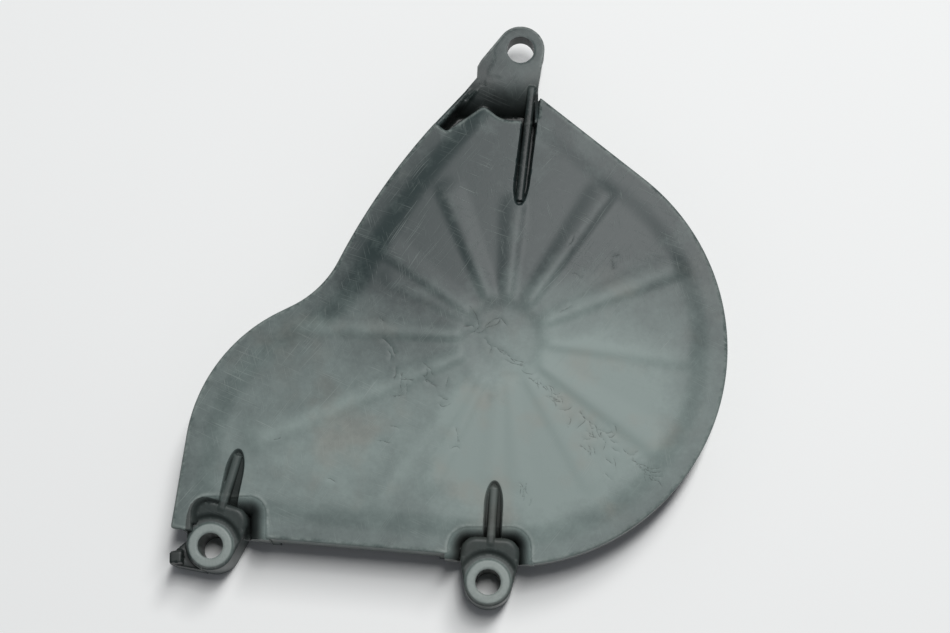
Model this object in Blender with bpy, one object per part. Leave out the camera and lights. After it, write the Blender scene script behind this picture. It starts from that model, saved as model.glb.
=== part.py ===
"""Sprocket cover for a motorcycle engine: one shell moulded in black filled nylon.

The cover is drawn in millimetres about the sprocket shaft, X to the right and Y up the cover.
Z is the height above the engine face that the cover is bolted to. Three bolts hold it: two
through tall lugs on its lower edge, and one through a flat ear on top. Each lug stands in a bay
of the skin and is tied to it by a gusset that sinks into a tapering groove. A fan of soft
ridges runs from a shallow dish over the shaft out to a raised panel's edge.
"""

import math

import bmesh
import bpy
import numpy as np
from mathutils.geometry import delaunay_2d_cdt

MM = 0.001

# Shell
WALL = 2.4  # thickness of the skin and of the skirt
RIM_Z = 25.4  # top of the rim band that runs round the skin
LIP_R = 1.1  # rounding of the skin's outer edge

# Plan of the skin
ROUND_CENTRE = (1.35, -1.6)  # round side, almost concentric with the shaft
ROUND_R = 72.6
ROUND_FROM, ROUND_TO = -84.2, 51.0  # degrees: from the lower bay to the slope up to the ear
NECK_X = 11.8  # where that slope ends beside the ear
LOWER_CORNER = (-109.0, -61.9)  # tip of the tail
FOOT_START = (-77.2, -65.4)  # start of the straight lower edge, beside the tail's bay
FOOT_FALL = 0.0845  # drop of that edge for each mm to the right
TAIL_FLANK = ((-22.9, 74.3, 0.6), (-41.7, 53.1, 220.0), (-60.2, 16.8, 34.0), (-100.2, -3.0, 55.0))
EAR_RIM = ((11.8, 75.8, 1.2), (5.6, 74.7, 0.8), (-0.4, 74.9, 4.5), (-6.6, 80.2, 1.6), (-19.2, 71.2, 1.4))

# Relief of the skin
BAND = 5.2  # width of the flat rim band
BAND_SLOPE = 4.2  # width of the slope from the band up to the panel
PANEL_RISE = 1.1
CROWN = 0.9  # extra height of the panel over the shaft
HUB_R = 12.2
HUB_EDGE = 1.6  # width of the slope into the dish
HUB_SINK = 0.9
RIDGE_RISE = 0.75
RIDGE_HALF = (2.1, 4.3)  # half width at the dish and 60 mm out
# Angle in degrees, length in mm from the shaft, and share of the full rise
RIDGES = (
    (175.4, 74.0, 1.0), (152.0, 46.0, 0.5), (142.5, 60.0, 0.9), (111.0, 56.0, 0.9), (84.0, 48.0, 0.9),
    (55.0, 62.0, 1.0), (22.5, 65.5, 1.0), (-6.3, 63.5, 0.9), (-36.0, 64.0, 1.0), (-60.0, 58.0, 0.6),
    (-83.0, 50.0, 0.6), (-95.0, 48.0, 0.5), (-116.0, 56.0, 0.8), (-127.5, 70.0, 0.6), (-157.8, 90.0, 1.0),
)

# Bolt lugs on the lower edge. Each entry holds the bore's centre, the lean of the lug's axis to
# the right, the bay's sides, its depth from the skin's lower edge, its corner, the tray's lower
# corners, and how far to the right of the axis its groove opens.
BORE_R = 4.2
SEAT_R = 7.15  # raised seat that the bolt's flange bears on
SEAT_Z = 22.0
SEAT_RISE = 0.8
SPOTFACE_R = 9.8
NOSE_R = 8.0
LUG_FLARE = 1.6  # how much wider than its nose the lug is on each side behind it
LUG_HALF = NOSE_R + LUG_FLARE
LUG_LENGTH = 14.4  # from the bore to the lug's far end
LUG_SHOULDER = LUG_LENGTH * 0.486  # where the nose has widened to the full width
LUG_CORNER = (LUG_LENGTH - LUG_SHOULDER) * 0.676
GUSSET_ROOT = 5.4  # how far under the lug's top its gusset starts
LUG_TILT = 0.15  # rise of its top towards the skin
BAY_FLOOR_Z = 14.0
LUGS = {
    "lug_lower": {
        "bore": (-5.3, -79.3), "lean": 3.9, "left": -18.3, "right": None, "depth": 8.577, "corner": 6.5,
        "tray": (-72.0, -72.6), "mouth": 0.3,
    },
    "lug_tail": {
        "bore": (-96.3, -67.4), "lean": 16.8, "left": -102.3, "right": -77.9, "depth": 13.7, "corner": 5.5,
        "tray": (-63.3, -65.9), "mouth": 1.7,
    },
}

# Gusset grooves: a tapering finger from the bay up into the skin, with a thin rib along it
GROOVE_HALF = (3.1, 1.9)  # half width at the mouth and at the tip
GROOVE_WALL = 0.5  # plan width of the groove's steep side
GROOVE_DROP = (6.2, 1.3)  # depth at the mouth and at the tip
LUG_GROOVE = (15.0, 32.3)  # mouth and tip, from the bore
GUSSET_HALF = 1.15

# Ear at the top
EAR_BORE = (5.9, 100.3)
EAR_BORE_R = 4.6
EAR_NOSE_R = 8.1
EAR_Z = (13.4, 22.0)
EAR_POCKET_Z = 15.8  # floor of the pocket between the ear and the skin
EAR_SHOULDER_R = 3.4  # rounding of its top down to the pocket
EAR_LEFT = ((-7.5, 96.6), (-8.7, 94.4), (-8.9, 90.6))
EAR_SHOULDER_Y = 87.6
EAR_GUSSET = ((9.8, 87.6), (5.1, 45.6))  # from the ear's shoulder to the groove's tip
FLANK_RIB = 2.4  # thickness of the sloping wall on the pocket's left side

# Hook beside the tail's lug
HOOK_ARM = ((-109.7, -73.2), (-99.2, -75.2), (-96.3, -67.4), (-102.5, -63.4), (-108.4, -68.9), (-109.7, -69.2))
HOOK_ARM_Z = (0.0, 17.6)
HOOK_BLOCK_X = (-109.7, -105.7)
HOOK_BLOCK_Y = (-73.0, -69.1)
HOOK_BLOCK_Z = 20.6

# Openings in the skirt
CHAIN_EXIT = ((-117.0, -67.0), (-105.3, -67.0), (-105.3, -55.0), (-101.0, -50.0), (-101.0, -34.0), (-117.0, -34.0))
CHAIN_EXIT_Z = RIM_Z - WALL - 0.7
FOOT_GAP_X = (-74.5, -21.5)  # the lower wall stops short of the engine face here
FOOT_GAP_Z = 10.4
ROUND_GAP = (-93.0, -28.0)  # degrees of the round side over which the skirt stops short of it too
ROUND_GAP_Z = 16.0

# Mesh
STEP = 3.6  # longest chord on a curve
TURN = math.radians(14)  # largest turn between two chords
GRID = 7.0  # spacing of the points between features


def on_circle(centre, radius, degrees):
    angle = math.radians(degrees)
    return centre[0] + radius * math.cos(angle), centre[1] + radius * math.sin(angle)


def rounded(corners, longest=STEP):
    """Points of a closed anticlockwise path whose corners (x, y, radius) are filleted."""
    points = []
    for i, (x, y, radius) in enumerate(corners):
        corner = np.array((x, y))
        back = np.array(corners[i - 1][:2]) - corner
        ahead = np.array(corners[(i + 1) % len(corners)][:2]) - corner
        back /= np.linalg.norm(back)
        ahead /= np.linalg.norm(ahead)
        if radius <= 0:
            points.append(corner)
            continue
        half = math.acos(max(-1.0, min(1.0, back @ ahead))) / 2
        middle = back + ahead
        centre = corner + middle / np.linalg.norm(middle) * radius / math.sin(half)
        start = corner + back * radius / math.tan(half) - centre
        turn = math.pi - 2 * half
        if back[0] * ahead[1] - back[1] * ahead[0] > 0:
            turn = -turn
        count = max(2, math.ceil(abs(turn) * radius / longest), math.ceil(abs(turn) / TURN))
        for k in range(count + 1):
            c, s = math.cos(turn * k / count), math.sin(turn * k / count)
            points.append(centre + (c * start[0] - s * start[1], s * start[0] + c * start[1]))
    path = []
    for here, there in zip(points, points[1:] + points[:1]):
        gap = np.linalg.norm(there - here)
        if gap < 1e-6:
            continue
        count = max(1, math.ceil(gap / (2.2 * longest)))
        path.extend(here + (there - here) * k / count for k in range(count))
    return np.array(path)


def distance_to(path, points):
    """Distance of each point from a closed path."""
    a, b = path, np.roll(path, -1, axis=0)
    run = b - a
    best = np.full(len(points), np.inf)
    for start, along in zip(a, run):
        t = np.clip((points - start) @ along / (along @ along), 0, 1)
        gap = points - start - t[:, None] * along
        best = np.minimum(best, np.hypot(gap[:, 0], gap[:, 1]))
    return best


def inside(path, points):
    """Whether each point lies inside a closed path."""
    a, b = path, np.roll(path, -1, axis=0)
    hit = np.zeros(len(points), bool)
    for (ax, ay), (bx, by) in zip(a, b):
        if ay == by:
            continue
        crosses = (ay > points[:, 1]) != (by > points[:, 1])
        hit ^= crosses & (points[:, 0] < (bx - ax) * (points[:, 1] - ay) / (by - ay) + ax)
    return hit


def parallel(path, distance):
    """The path moved inwards, without the stretches that come too near to it."""
    before = path - np.roll(path, 1, axis=0)
    after = np.roll(path, -1, axis=0) - path
    before /= np.linalg.norm(before, axis=1)[:, None]
    after /= np.linalg.norm(after, axis=1)[:, None]
    normal = np.c_[-(before + after)[:, 1], (before + after)[:, 0]]
    normal /= np.linalg.norm(normal, axis=1)[:, None]
    cosine = np.abs(normal[:, 0] * -before[:, 1] + normal[:, 1] * before[:, 0])
    moved = path + normal * (distance / np.maximum(cosine, 0.4))[:, None]
    return moved[(distance_to(path, moved) > distance * 0.985) & inside(path, moved)]


def smooth(t):
    t = np.clip(t, 0, 1)
    return t * t * (3 - 2 * t)


def bay_top(lug):
    """Where a lug's bay ends in the skin, from the lower edge at the bay's side and its depth."""
    side = lug["right"] or lug["left"]
    return FOOT_START[1] - FOOT_FALL * max(0.0, side - FOOT_START[0]) + lug["depth"]


def skin_corners(bays):
    """Corners of the skin's plan, with the lugs' bays or with the lower edge drawn straight across them."""
    start = on_circle(ROUND_CENTRE, ROUND_R, ROUND_FROM)
    half = math.radians(ROUND_TO - ROUND_FROM) / 2
    far = on_circle(ROUND_CENTRE, ROUND_R / math.cos(half), (ROUND_FROM + ROUND_TO) / 2)
    end = on_circle(ROUND_CENTRE, ROUND_R, ROUND_TO)
    slope = math.radians(ROUND_TO + 90)
    neck_y = end[1] + (NECK_X - end[0]) * math.tan(slope)
    corners = [(*far, ROUND_R), (NECK_X, neck_y, 0.6), *EAR_RIM, *TAIL_FLANK, (*LOWER_CORNER, 0.8)]
    if bays:
        tail, lower = LUGS["lug_tail"], LUGS["lug_lower"]
        corners += [
            (tail["left"], LOWER_CORNER[1] - 0.9, 0.6), (tail["left"], bay_top(tail), tail["corner"]),
            (tail["right"], bay_top(tail), tail["corner"]), (tail["right"], FOOT_START[1], 0.6),
            (lower["left"], FOOT_START[1] - FOOT_FALL * (lower["left"] - FOOT_START[0]), 0.6),
            (lower["left"], bay_top(lower), lower["corner"]), (start[0], bay_top(lower), lower["corner"]),
        ]
    corners.append((*start, 0))
    return corners


class Groove:
    """A tapering finger in the skin, straight from its mouth to its round tip."""

    def __init__(self, mouth, tip):
        self.mouth, tip = np.array(mouth), np.array(tip)
        run = tip - self.mouth
        self.along = run / np.linalg.norm(run)
        self.across = np.array((self.along[1], -self.along[0]))
        self.length = np.linalg.norm(run) - GROOVE_HALF[1]

    def edge(self, points):
        """How far each point lies outside the groove's edge, negative within it, and its share of the length."""
        local = points - self.mouth
        s, t = local @ self.along, np.abs(local @ self.across)
        share = np.clip(s / self.length, 0, 1)
        half = GROOVE_HALF[0] + (GROOVE_HALF[1] - GROOVE_HALF[0]) * share
        return np.where(s > self.length, np.hypot(s - self.length, t) - GROOVE_HALF[1], t - half), share

    def outline(self, outside):
        """An open path at a distance outside the groove's edge, up one side, round the tip and back."""
        path = []
        for share in np.linspace(-0.12, 1.0, 6):
            half = GROOVE_HALF[0] + (GROOVE_HALF[1] - GROOVE_HALF[0]) * max(share, 0) + outside
            path.append((share * self.length, half))
        for angle in np.radians(np.linspace(75, 0, 6)):
            r = GROOVE_HALF[1] + outside
            path.append((self.length + r * math.cos(angle), r * math.sin(angle)))
        path += [(s, -t) for s, t in reversed(path[:-1])]
        return np.array([self.mouth + s * self.along + t * self.across for s, t in path])


def lug_axis(lug):
    lean = math.radians(lug["lean"])
    return np.array((math.sin(lean), math.cos(lean)))


def grooves():
    found = []
    for lug in LUGS.values():
        axis = lug_axis(lug)
        mouth, tip = (np.array(lug["bore"]) + axis * d for d in LUG_GROOVE)
        found.append(Groove(mouth + np.array((axis[1], -axis[0])) * lug["mouth"], tip))
    ear, tip = (np.array(point) for point in EAR_GUSSET)
    found.append(Groove(ear + (tip - ear) * 0.22, tip))
    return found


def relief(points, whole):
    """Height of the skin's broad surface: rim band, panel, crown, dish and ridges."""
    r = np.hypot(points[:, 0], points[:, 1])
    gap = np.where(inside(whole, points), distance_to(whole, points), 0)
    panel = smooth((gap - BAND) / BAND_SLOPE)
    dish = smooth((HUB_R + HUB_EDGE / 2 - r) / HUB_EDGE)
    z = RIM_Z + panel * (PANEL_RISE + CROWN * np.clip(1 - (r / 75) ** 2, 0, 1)) - HUB_SINK * dish
    for degrees, length, share in RIDGES:
        angle = math.radians(degrees)
        s = points @ (math.cos(angle), math.sin(angle))
        t = np.abs(points @ (-math.sin(angle), math.cos(angle)))
        half = RIDGE_HALF[0] + (RIDGE_HALF[1] - RIDGE_HALF[0]) * np.clip(s / 60, 0, 1.3)
        crest = 0.5 + 0.5 * np.cos(math.pi * np.clip(t / half, 0, 1))
        fade = smooth((s - HUB_R + 0.6) / 2.4) * smooth((length + 3 - s) / 7)
        z += RIDGE_RISE * share * crest * fade * (1 - dish) * (0.25 + 0.75 * panel)
    return z


def top_height(points, outline, whole):
    z = relief(points, whole)
    lip = np.clip(1 - distance_to(outline, points) / LIP_R, 0, 1)
    z -= LIP_R * (1 - np.sqrt(1 - (0.985 * lip) ** 2))
    for groove in grooves():
        edge, share = groove.edge(points)
        depth = GROOVE_DROP[0] + (GROOVE_DROP[1] - GROOVE_DROP[0]) * share
        z -= depth * smooth(0.5 - edge / GROOVE_WALL / 2)
    return z


def ceiling_height(points, whole):
    """Underside of the skin: it follows the relief, and drops beneath each groove."""
    z = relief(points, whole) - WALL
    for groove in grooves():
        edge, share = groove.edge(points)
        depth = GROOVE_DROP[0] + (GROOVE_DROP[1] - GROOVE_DROP[0]) * share
        z -= depth * smooth(0.5 - (edge - 1.9) / 1.2)
    return z


class Plan:
    """Points and edges of a flat layout, triangulated within an outline."""

    def __init__(self, outline):
        self.outline, self.points, self.edges = outline, [], []
        self.line(outline, True)

    def line(self, path, closed=False):
        first = len(self.points)
        self.points += [tuple(map(float, p)) for p in path]
        count = len(path)
        self.edges += [(first + i, first + (i + 1) % count) for i in range(count if closed else count - 1)]

    def scatter(self, spacing, clear):
        """Fills the room between the lines with evenly spaced points."""
        low, high = self.outline.min(0), self.outline.max(0)
        rows = []
        for j in range(int((high[1] - low[1]) / (spacing * 0.866)) + 1):
            x = np.arange(low[0] + (j % 2) * spacing / 2, high[0], spacing)
            rows.append(np.c_[x, np.full(len(x), low[1] + j * spacing * 0.866)])
        points = np.vstack(rows)
        points = points[inside(self.outline, points) & (distance_to(self.outline, points) > clear)]
        taken = np.array(self.points)
        keep = [np.hypot(*(taken - p).T).min() > clear for p in points]
        self.points += [tuple(map(float, p)) for p in points[keep]]

    def triangles(self, hole=None):
        points, _, faces, *_ = delaunay_2d_cdt(self.points, self.edges, [], 0, 0.004)
        points = np.array([tuple(p) for p in points])
        faces = np.array(faces)
        middle = points[faces].mean(1)
        keep = inside(self.outline, middle)
        if hole is not None:
            keep &= ~inside(hole, middle)
        return points, faces[keep]


def ridge_lines(plan, reach):
    """Rows of points along each ridge's crest and sides, for as long as they stay in the plan."""
    for degrees, length, _ in RIDGES:
        angle = math.radians(degrees)
        u, v = np.array((math.cos(angle), math.sin(angle))), np.array((-math.sin(angle), math.cos(angle)))
        rows = []
        for side in (-1, -0.5, 0, 0.5, 1):
            row = []
            for s in np.linspace(HUB_R + HUB_EDGE / 2 + 1.5, length + 3, max(4, int(length / 7))):
                half = RIDGE_HALF[0] + (RIDGE_HALF[1] - RIDGE_HALF[0]) * min(s / 60, 1.3)
                if s > 26 or abs(side) in (0, 1):
                    row.append(s * u + side * half * v)
            rows.append(row)
        points = np.array([p for row in rows for p in row])
        fits = inside(plan.outline, points) & (distance_to(plan.outline, points) > reach)
        for groove in grooves():
            fits &= groove.edge(points)[0] > 2.4
        taken = np.array(plan.points)
        for p in points[fits]:
            if np.hypot(*(taken - p).T).min() > 1.1:
                plan.points.append(tuple(map(float, p)))


def surface(bm, points, faces, heights, flip):
    """Adds one surface and the wall from its edge down to the engine face."""
    verts = [bm.verts.new((x, y, z)) for (x, y), z in zip(points, heights)]
    made = []
    for face in faces:
        a, b, c = (verts[i] for i in face)
        turn = (b.co - a.co).xy.cross((c.co - a.co).xy)
        made.append(bm.faces.new((a, b, c) if (turn > 0) != flip else (a, c, b)))
    for vert in verts:
        if not vert.link_faces:
            bm.verts.remove(vert)
    rim = [edge for face in made for edge in face.edges if len(edge.link_faces) == 1]
    grown = bmesh.ops.extrude_edge_only(bm, edges=rim)["geom"]
    foot = [item for item in grown if isinstance(item, bmesh.types.BMVert)]
    for vert in foot:
        vert.co.z = 0
    return foot


def walk(verts):
    """The plan positions of a ring of vertices, in order."""
    ring = {vert: [e.other_vert(vert) for e in vert.link_edges if e.other_vert(vert) in verts] for vert in verts}
    start = next(iter(ring))
    path, last, here = [start], None, start
    while True:
        following = next(v for v in ring[here] if v is not last)
        if following is start:
            return path
        path.append(following)
        last, here = here, following


def build_shell():
    """The skin, its ceiling and the skirt between them, as one closed body."""
    outline, whole = rounded(skin_corners(True)), rounded(skin_corners(False))
    bm = bmesh.new()

    top = Plan(outline)
    top.line(parallel(outline, LIP_R * 0.3), True)
    top.line(parallel(outline, LIP_R), True)
    for gap in (BAND, BAND + BAND_SLOPE / 2, BAND + BAND_SLOPE):
        loop = parallel(whole, gap)
        fits = inside(outline, loop) & (distance_to(outline, loop) > 2.2)
        for groove in grooves():
            fits &= groove.edge(loop)[0] > 2.0
        top.points += [tuple(map(float, p)) for p in loop[fits]]
    for r in (HUB_R - HUB_EDGE / 2, HUB_R, HUB_R + HUB_EDGE / 2):
        top.line(np.array([on_circle((0, 0), r, a) for a in range(0, 360, 12)]), True)
    for groove in grooves():
        for outside in (GROOVE_WALL, 0, -GROOVE_WALL):
            top.line(groove.outline(outside))
    ridge_lines(top, 2.4)
    top.scatter(GRID, 3.4)
    points, faces = top.triangles()
    outer = surface(bm, points, faces, top_height(points, outline, whole), False)

    inner_outline = parallel(outline, WALL)
    ceiling = Plan(inner_outline)
    for gap in (BAND + 0.5, BAND + BAND_SLOPE):
        loop = parallel(whole, gap)
        fits = inside(inner_outline, loop) & (distance_to(inner_outline, loop) > 1.6)
        ceiling.points += [tuple(map(float, p)) for p in loop[fits][::2]]
    for groove in grooves():
        for outside in (2.5, 1.3):
            ceiling.line(groove.outline(outside))
    ceiling.line(np.array([on_circle((0, 0), HUB_R, a) for a in range(0, 360, 20)]), True)
    ceiling.scatter(GRID * 1.15, 4.2)
    points, faces = ceiling.triangles()
    inner = surface(bm, points, faces, ceiling_height(points, whole), True)

    rings = [walk(set(verts)) for verts in (outer, inner)]
    flat = [np.array([v.co.xy[:] for v in ring]) for ring in rings]
    foot = Plan(flat[0])
    foot.line(flat[1], True)
    points, faces = foot.triangles(hole=flat[1])
    lookup = {tuple(np.round(p, 3)): v for ring in rings for p, v in zip([v.co.xy[:] for v in ring], ring)}
    corners = [lookup.get(tuple(np.round(p, 3))) or min(
        rings[0] + rings[1], key=lambda v: (v.co.x - p[0]) ** 2 + (v.co.y - p[1]) ** 2) for p in points]
    for face in faces:
        a, b, c = (corners[i] for i in face)
        turn = (b.co - a.co).xy.cross((c.co - a.co).xy)
        bm.faces.new((a, c, b) if turn > 0 else (a, b, c))
    bmesh.ops.recalc_face_normals(bm, faces=bm.faces)
    return to_object(bm, "sprocket_cover")


def middle():
    """Centre of the cover's extent in plan, which becomes the object's origin."""
    right = ROUND_CENTRE[0] + ROUND_R
    left = min(x for x, _ in HOOK_ARM)
    back = EAR_BORE[1] + EAR_NOSE_R
    front = LUGS["lug_lower"]["bore"][1] - NOSE_R
    return (left + right) / 2, (front + back) / 2


def to_object(bm, name):
    x, y = middle()
    bmesh.ops.translate(bm, vec=(-x, -y, 0), verts=bm.verts)
    bmesh.ops.scale(bm, vec=(MM, MM, MM), verts=bm.verts)
    mesh = bpy.data.meshes.new(name)
    bm.to_mesh(mesh)
    bm.free()
    obj = bpy.data.objects.new(name, mesh)
    bpy.context.scene.collection.objects.link(obj)
    return obj


def prism(name, plan, low, high, round_top=0.0, segments=2):
    """An upright block on a plan; low and high are heights, or functions of x and y."""
    bm = bmesh.new()
    at = lambda z, x, y: z(x, y) if callable(z) else z
    base = [bm.verts.new((x, y, at(low, x, y))) for x, y in plan]
    cap = [bm.verts.new((x, y, at(high, x, y))) for x, y in plan]
    bm.faces.new(base[::-1])
    top = bm.faces.new(cap)
    for i in range(len(plan)):
        j = (i + 1) % len(plan)
        bm.faces.new((base[i], base[j], cap[j], cap[i]))
    if round_top:
        bmesh.ops.bevel(
            bm, geom=list(top.edges), offset=round_top, segments=segments, profile=0.5, affect="EDGES", clamp_overlap=True
        )
    bmesh.ops.recalc_face_normals(bm, faces=bm.faces)
    return to_object(bm, name)


def drum(name, centre, radius, low, high, chamfer=0.0, sides=32):
    plan = [on_circle(centre, radius, 360 * k / sides) for k in range(sides)]
    return prism(name, plan, low, high, chamfer, 1)


def blade(name, start, end, half, profile):
    """A thin upright rib from start to end in plan; profile holds (distance along, height) points."""
    start, end = np.array(start), np.array(end)
    along = (end - start) / np.linalg.norm(end - start)
    across = np.array((-along[1], along[0])) * half
    bm = bmesh.new()
    sides = []
    for side in (1, -1):
        ring = [(*(start + along * s + across * side), z) for s, z in profile]
        sides.append([bm.verts.new(co) for co in ring])
    bm.faces.new(sides[0])
    bm.faces.new(sides[1][::-1])
    for i in range(len(profile)):
        j = (i + 1) % len(profile)
        bm.faces.new((sides[0][i], sides[1][i], sides[1][j], sides[0][j]))
    bmesh.ops.recalc_face_normals(bm, faces=bm.faces)
    return to_object(bm, name)


def lug_plan():
    """The lug from above: a round nose about the bore, widening to a body with rounded far corners."""
    reach = math.hypot(LUG_HALF, LUG_SHOULDER)
    tangent = math.atan2(LUG_SHOULDER, LUG_HALF) - math.acos(NOSE_R / reach)
    return rounded(
        (
            (LUG_HALF, LUG_SHOULDER, 2.0), (LUG_HALF, LUG_LENGTH, LUG_CORNER), (-LUG_HALF, LUG_LENGTH, LUG_CORNER),
            (-LUG_HALF, LUG_SHOULDER, 2.0), (0, NOSE_R / math.sin(tangent), NOSE_R),
        ),
        2.4,
    )


def build_lug(name, lug):
    """Column, seat and gusset of one lug; returns the solids to add and the solids to take away."""
    axis = lug_axis(lug)
    across = np.array((axis[1], -axis[0]))
    bore = np.array(lug["bore"])
    floor = SEAT_Z - SEAT_RISE
    place = lambda x, y: tuple(bore + across * x + axis * y)
    along = lambda x, y: (np.array((x, y)) - bore) @ axis
    plan = [place(x, y) for x, y in lug_plan()]
    column = prism(name + "_column", plan, 0, lambda x, y: floor + 0.3 + LUG_TILT * along(x, y), 0.7)
    seat = drum(name + "_seat", bore, SEAT_R, floor - 2, SEAT_Z, 0.35)
    left, right = lug["left"], lug["right"] or on_circle(ROUND_CENTRE, ROUND_R, ROUND_FROM)[0]
    depth = bay_top(lug) + WALL / 2
    tray_left, tray_right = lug["tray"]
    tray = prism(
        name + "_tray",
        rounded(
            (
                (left - WALL / 2, tray_left, 0), (right + WALL / 2, tray_right, 0),
                (right + WALL / 2, depth, lug["corner"] + WALL / 2), (left - WALL / 2, depth, lug["corner"] + WALL / 2),
            )
        ),
        BAY_FLOOR_Z - WALL,
        BAY_FLOOR_Z,
    )
    mouth, tip = LUG_GROOVE
    root = mouth + (bay_top(lug) - bore[1] - mouth) / axis[1] + 2.0
    start, low = LUG_LENGTH - GUSSET_ROOT, RIM_Z + PANEL_RISE - GROOVE_DROP[0]
    gusset = blade(
        name + "_gusset",
        place(0, 0),
        place(0, 1),
        GUSSET_HALF,
        (
            (start, BAY_FLOOR_Z - 1.0), (root, BAY_FLOOR_Z - 1.0), (root, low - 0.6), (tip - 2.2, RIM_Z - 1.4),
            (tip - 1.6, RIM_Z + 0.3), (LUG_LENGTH - 2.4, floor + 0.3 + LUG_TILT * LUG_LENGTH - 0.2),
            (start, floor + 1.0),
        ),
    )
    spotface = drum(name + "_spotface", bore, SPOTFACE_R, floor, SEAT_Z + 8)
    bore_cut = drum(name + "_bore", bore, BORE_R, -5, SEAT_Z + 5)
    core_y = (SEAT_R + 1.6, LUG_LENGTH - WALL)
    core_x = LUG_HALF - WALL
    core = prism(
        name + "_core",
        [place(x, y) for x, y in ((core_x, core_y[0]), (core_x, core_y[1]), (-core_x, core_y[1]), (-core_x, core_y[0]))],
        -1,
        BAY_FLOOR_Z - WALL - 0.6,
    )
    cut(column, spotface)
    add(column, seat)
    cut(column, core)
    return [column, tray, gusset], [bore_cut]


def build_ear():
    """Ear, pocket floor, the sloping wall on its left and the long gusset on its right."""
    low, high = EAR_Z
    bore = np.array(EAR_BORE)
    left_top, left_middle, left_low = (np.array(p) for p in EAR_LEFT)
    reach = np.linalg.norm(left_top - bore)
    heading = math.degrees(math.atan2(*(left_top - bore)[::-1])) % 360 - math.degrees(math.acos(EAR_NOSE_R / reach))
    nose = [on_circle(bore, EAR_NOSE_R, a) for a in np.linspace(-22, heading, 16)]
    boss_plan = nose + [tuple(left_top), tuple(left_middle), tuple(left_low), (-7.4, EAR_SHOULDER_Y)]
    boss = prism("ear_boss", boss_plan + [(NECK_X, EAR_SHOULDER_Y)], low, high, 1.2, 3)
    arc = [on_circle((EAR_SHOULDER_R, high - EAR_SHOULDER_R), EAR_SHOULDER_R, a) for a in range(180, 89, -15)]
    foot = (bore[0], EAR_SHOULDER_Y)
    shoulder = blade("ear_shoulder", foot, (foot[0], foot[1] + 1), 20,
                     [(-2, arc[0][1]), *arc, (EAR_SHOULDER_R, high + 2), (-2, high + 2)])
    cut(boss, shoulder)
    rim = [(x, y - 1.2) for x, y, _ in EAR_RIM]
    floor_plan = [(NECK_X, EAR_SHOULDER_Y + 2), (-7.4, EAR_SHOULDER_Y + 2), tuple(left_low)]
    flank = np.array(TAIL_FLANK[0][:2])
    down = (flank - left_low) / np.linalg.norm(flank - left_low)
    inward = np.array((-down[1], down[0]))
    end = flank - down * 0.5
    floor_plan += [tuple(end), tuple(end + inward * 4), rim[4], rim[3], rim[2], rim[1], (NECK_X, rim[0][1])]
    floor = prism("ear_floor", floor_plan, low, EAR_POCKET_Z)
    length = np.linalg.norm(flank - left_low)
    rib_plan = [left_low, left_low + down * (length + 1.6), left_low + down * (length + 1.6) + inward * FLANK_RIB,
                left_low + inward * FLANK_RIB]
    top = lambda x, y: high - 0.4 + (RIM_Z - high + 0.1) * ((np.array((x, y)) - left_low) @ down) / (length + 1.6)
    rib = prism("ear_flank", [tuple(p) for p in rib_plan], low + 0.4, top, 0.9)
    start, tip = (np.array(p) for p in EAR_GUSSET)
    run = np.linalg.norm(tip - start)
    wall = start[1] - EAR_RIM[0][1] + 2.2
    gusset = blade(
        "ear_gusset", start, tip, GUSSET_HALF,
        (
            (-2.5, low + 0.6), (wall, low + 0.6), (wall, RIM_Z + PANEL_RISE - GROOVE_DROP[0] - 0.9),
            (run - 2.6, RIM_Z - 1.2), (run - 1.8, RIM_Z + PANEL_RISE - 0.4), (0.5, high - 0.1), (-2.5, high - 0.6),
        ),
    )
    bore_cut = drum("ear_bore", bore, EAR_BORE_R, -5, high + 8)
    return [boss, floor, rib, gusset], [bore_cut]


def sector(start, end):
    """A band across the skirt of the round side, between two angles."""
    angles = np.linspace(start, end, 10)
    outer = [on_circle(ROUND_CENTRE, ROUND_R + 8, a) for a in angles]
    return outer + [on_circle(ROUND_CENTRE, ROUND_R - WALL - 3, a) for a in angles[::-1]]


def build_hook():
    arm = prism("hook_arm", HOOK_ARM, HOOK_ARM_Z[0], HOOK_ARM_Z[1], 0.5)
    (x0, x1), (y0, y1) = HOOK_BLOCK_X, HOOK_BLOCK_Y
    block = prism("hook_block", ((x0, y0), (x1, y0), (x1, y1), (x0, y1)), HOOK_ARM_Z[1] - 4, HOOK_BLOCK_Z, 0.4)
    return [arm, block]


def boolean(target, tool, operation):
    modifier = target.modifiers.new(tool.name, "BOOLEAN")
    modifier.operation, modifier.solver, modifier.object = operation, "EXACT", tool
    tool.hide_render = True
    tool.display_type = "WIRE"


def add(target, tool):
    boolean(target, tool, "UNION")


def cut(target, tool):
    boolean(target, tool, "DIFFERENCE")


def nylon():
    """Black filled nylon, greyed by handling."""
    material = bpy.data.materials.new("black_nylon")
    material.use_nodes = True
    shader = material.node_tree.nodes["Principled BSDF"]
    shader.inputs["Base Color"].default_value = (0.045, 0.052, 0.05, 1)
    shader.inputs["Roughness"].default_value = 0.45
    shader.inputs["Metallic"].default_value = 0
    return material


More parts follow.
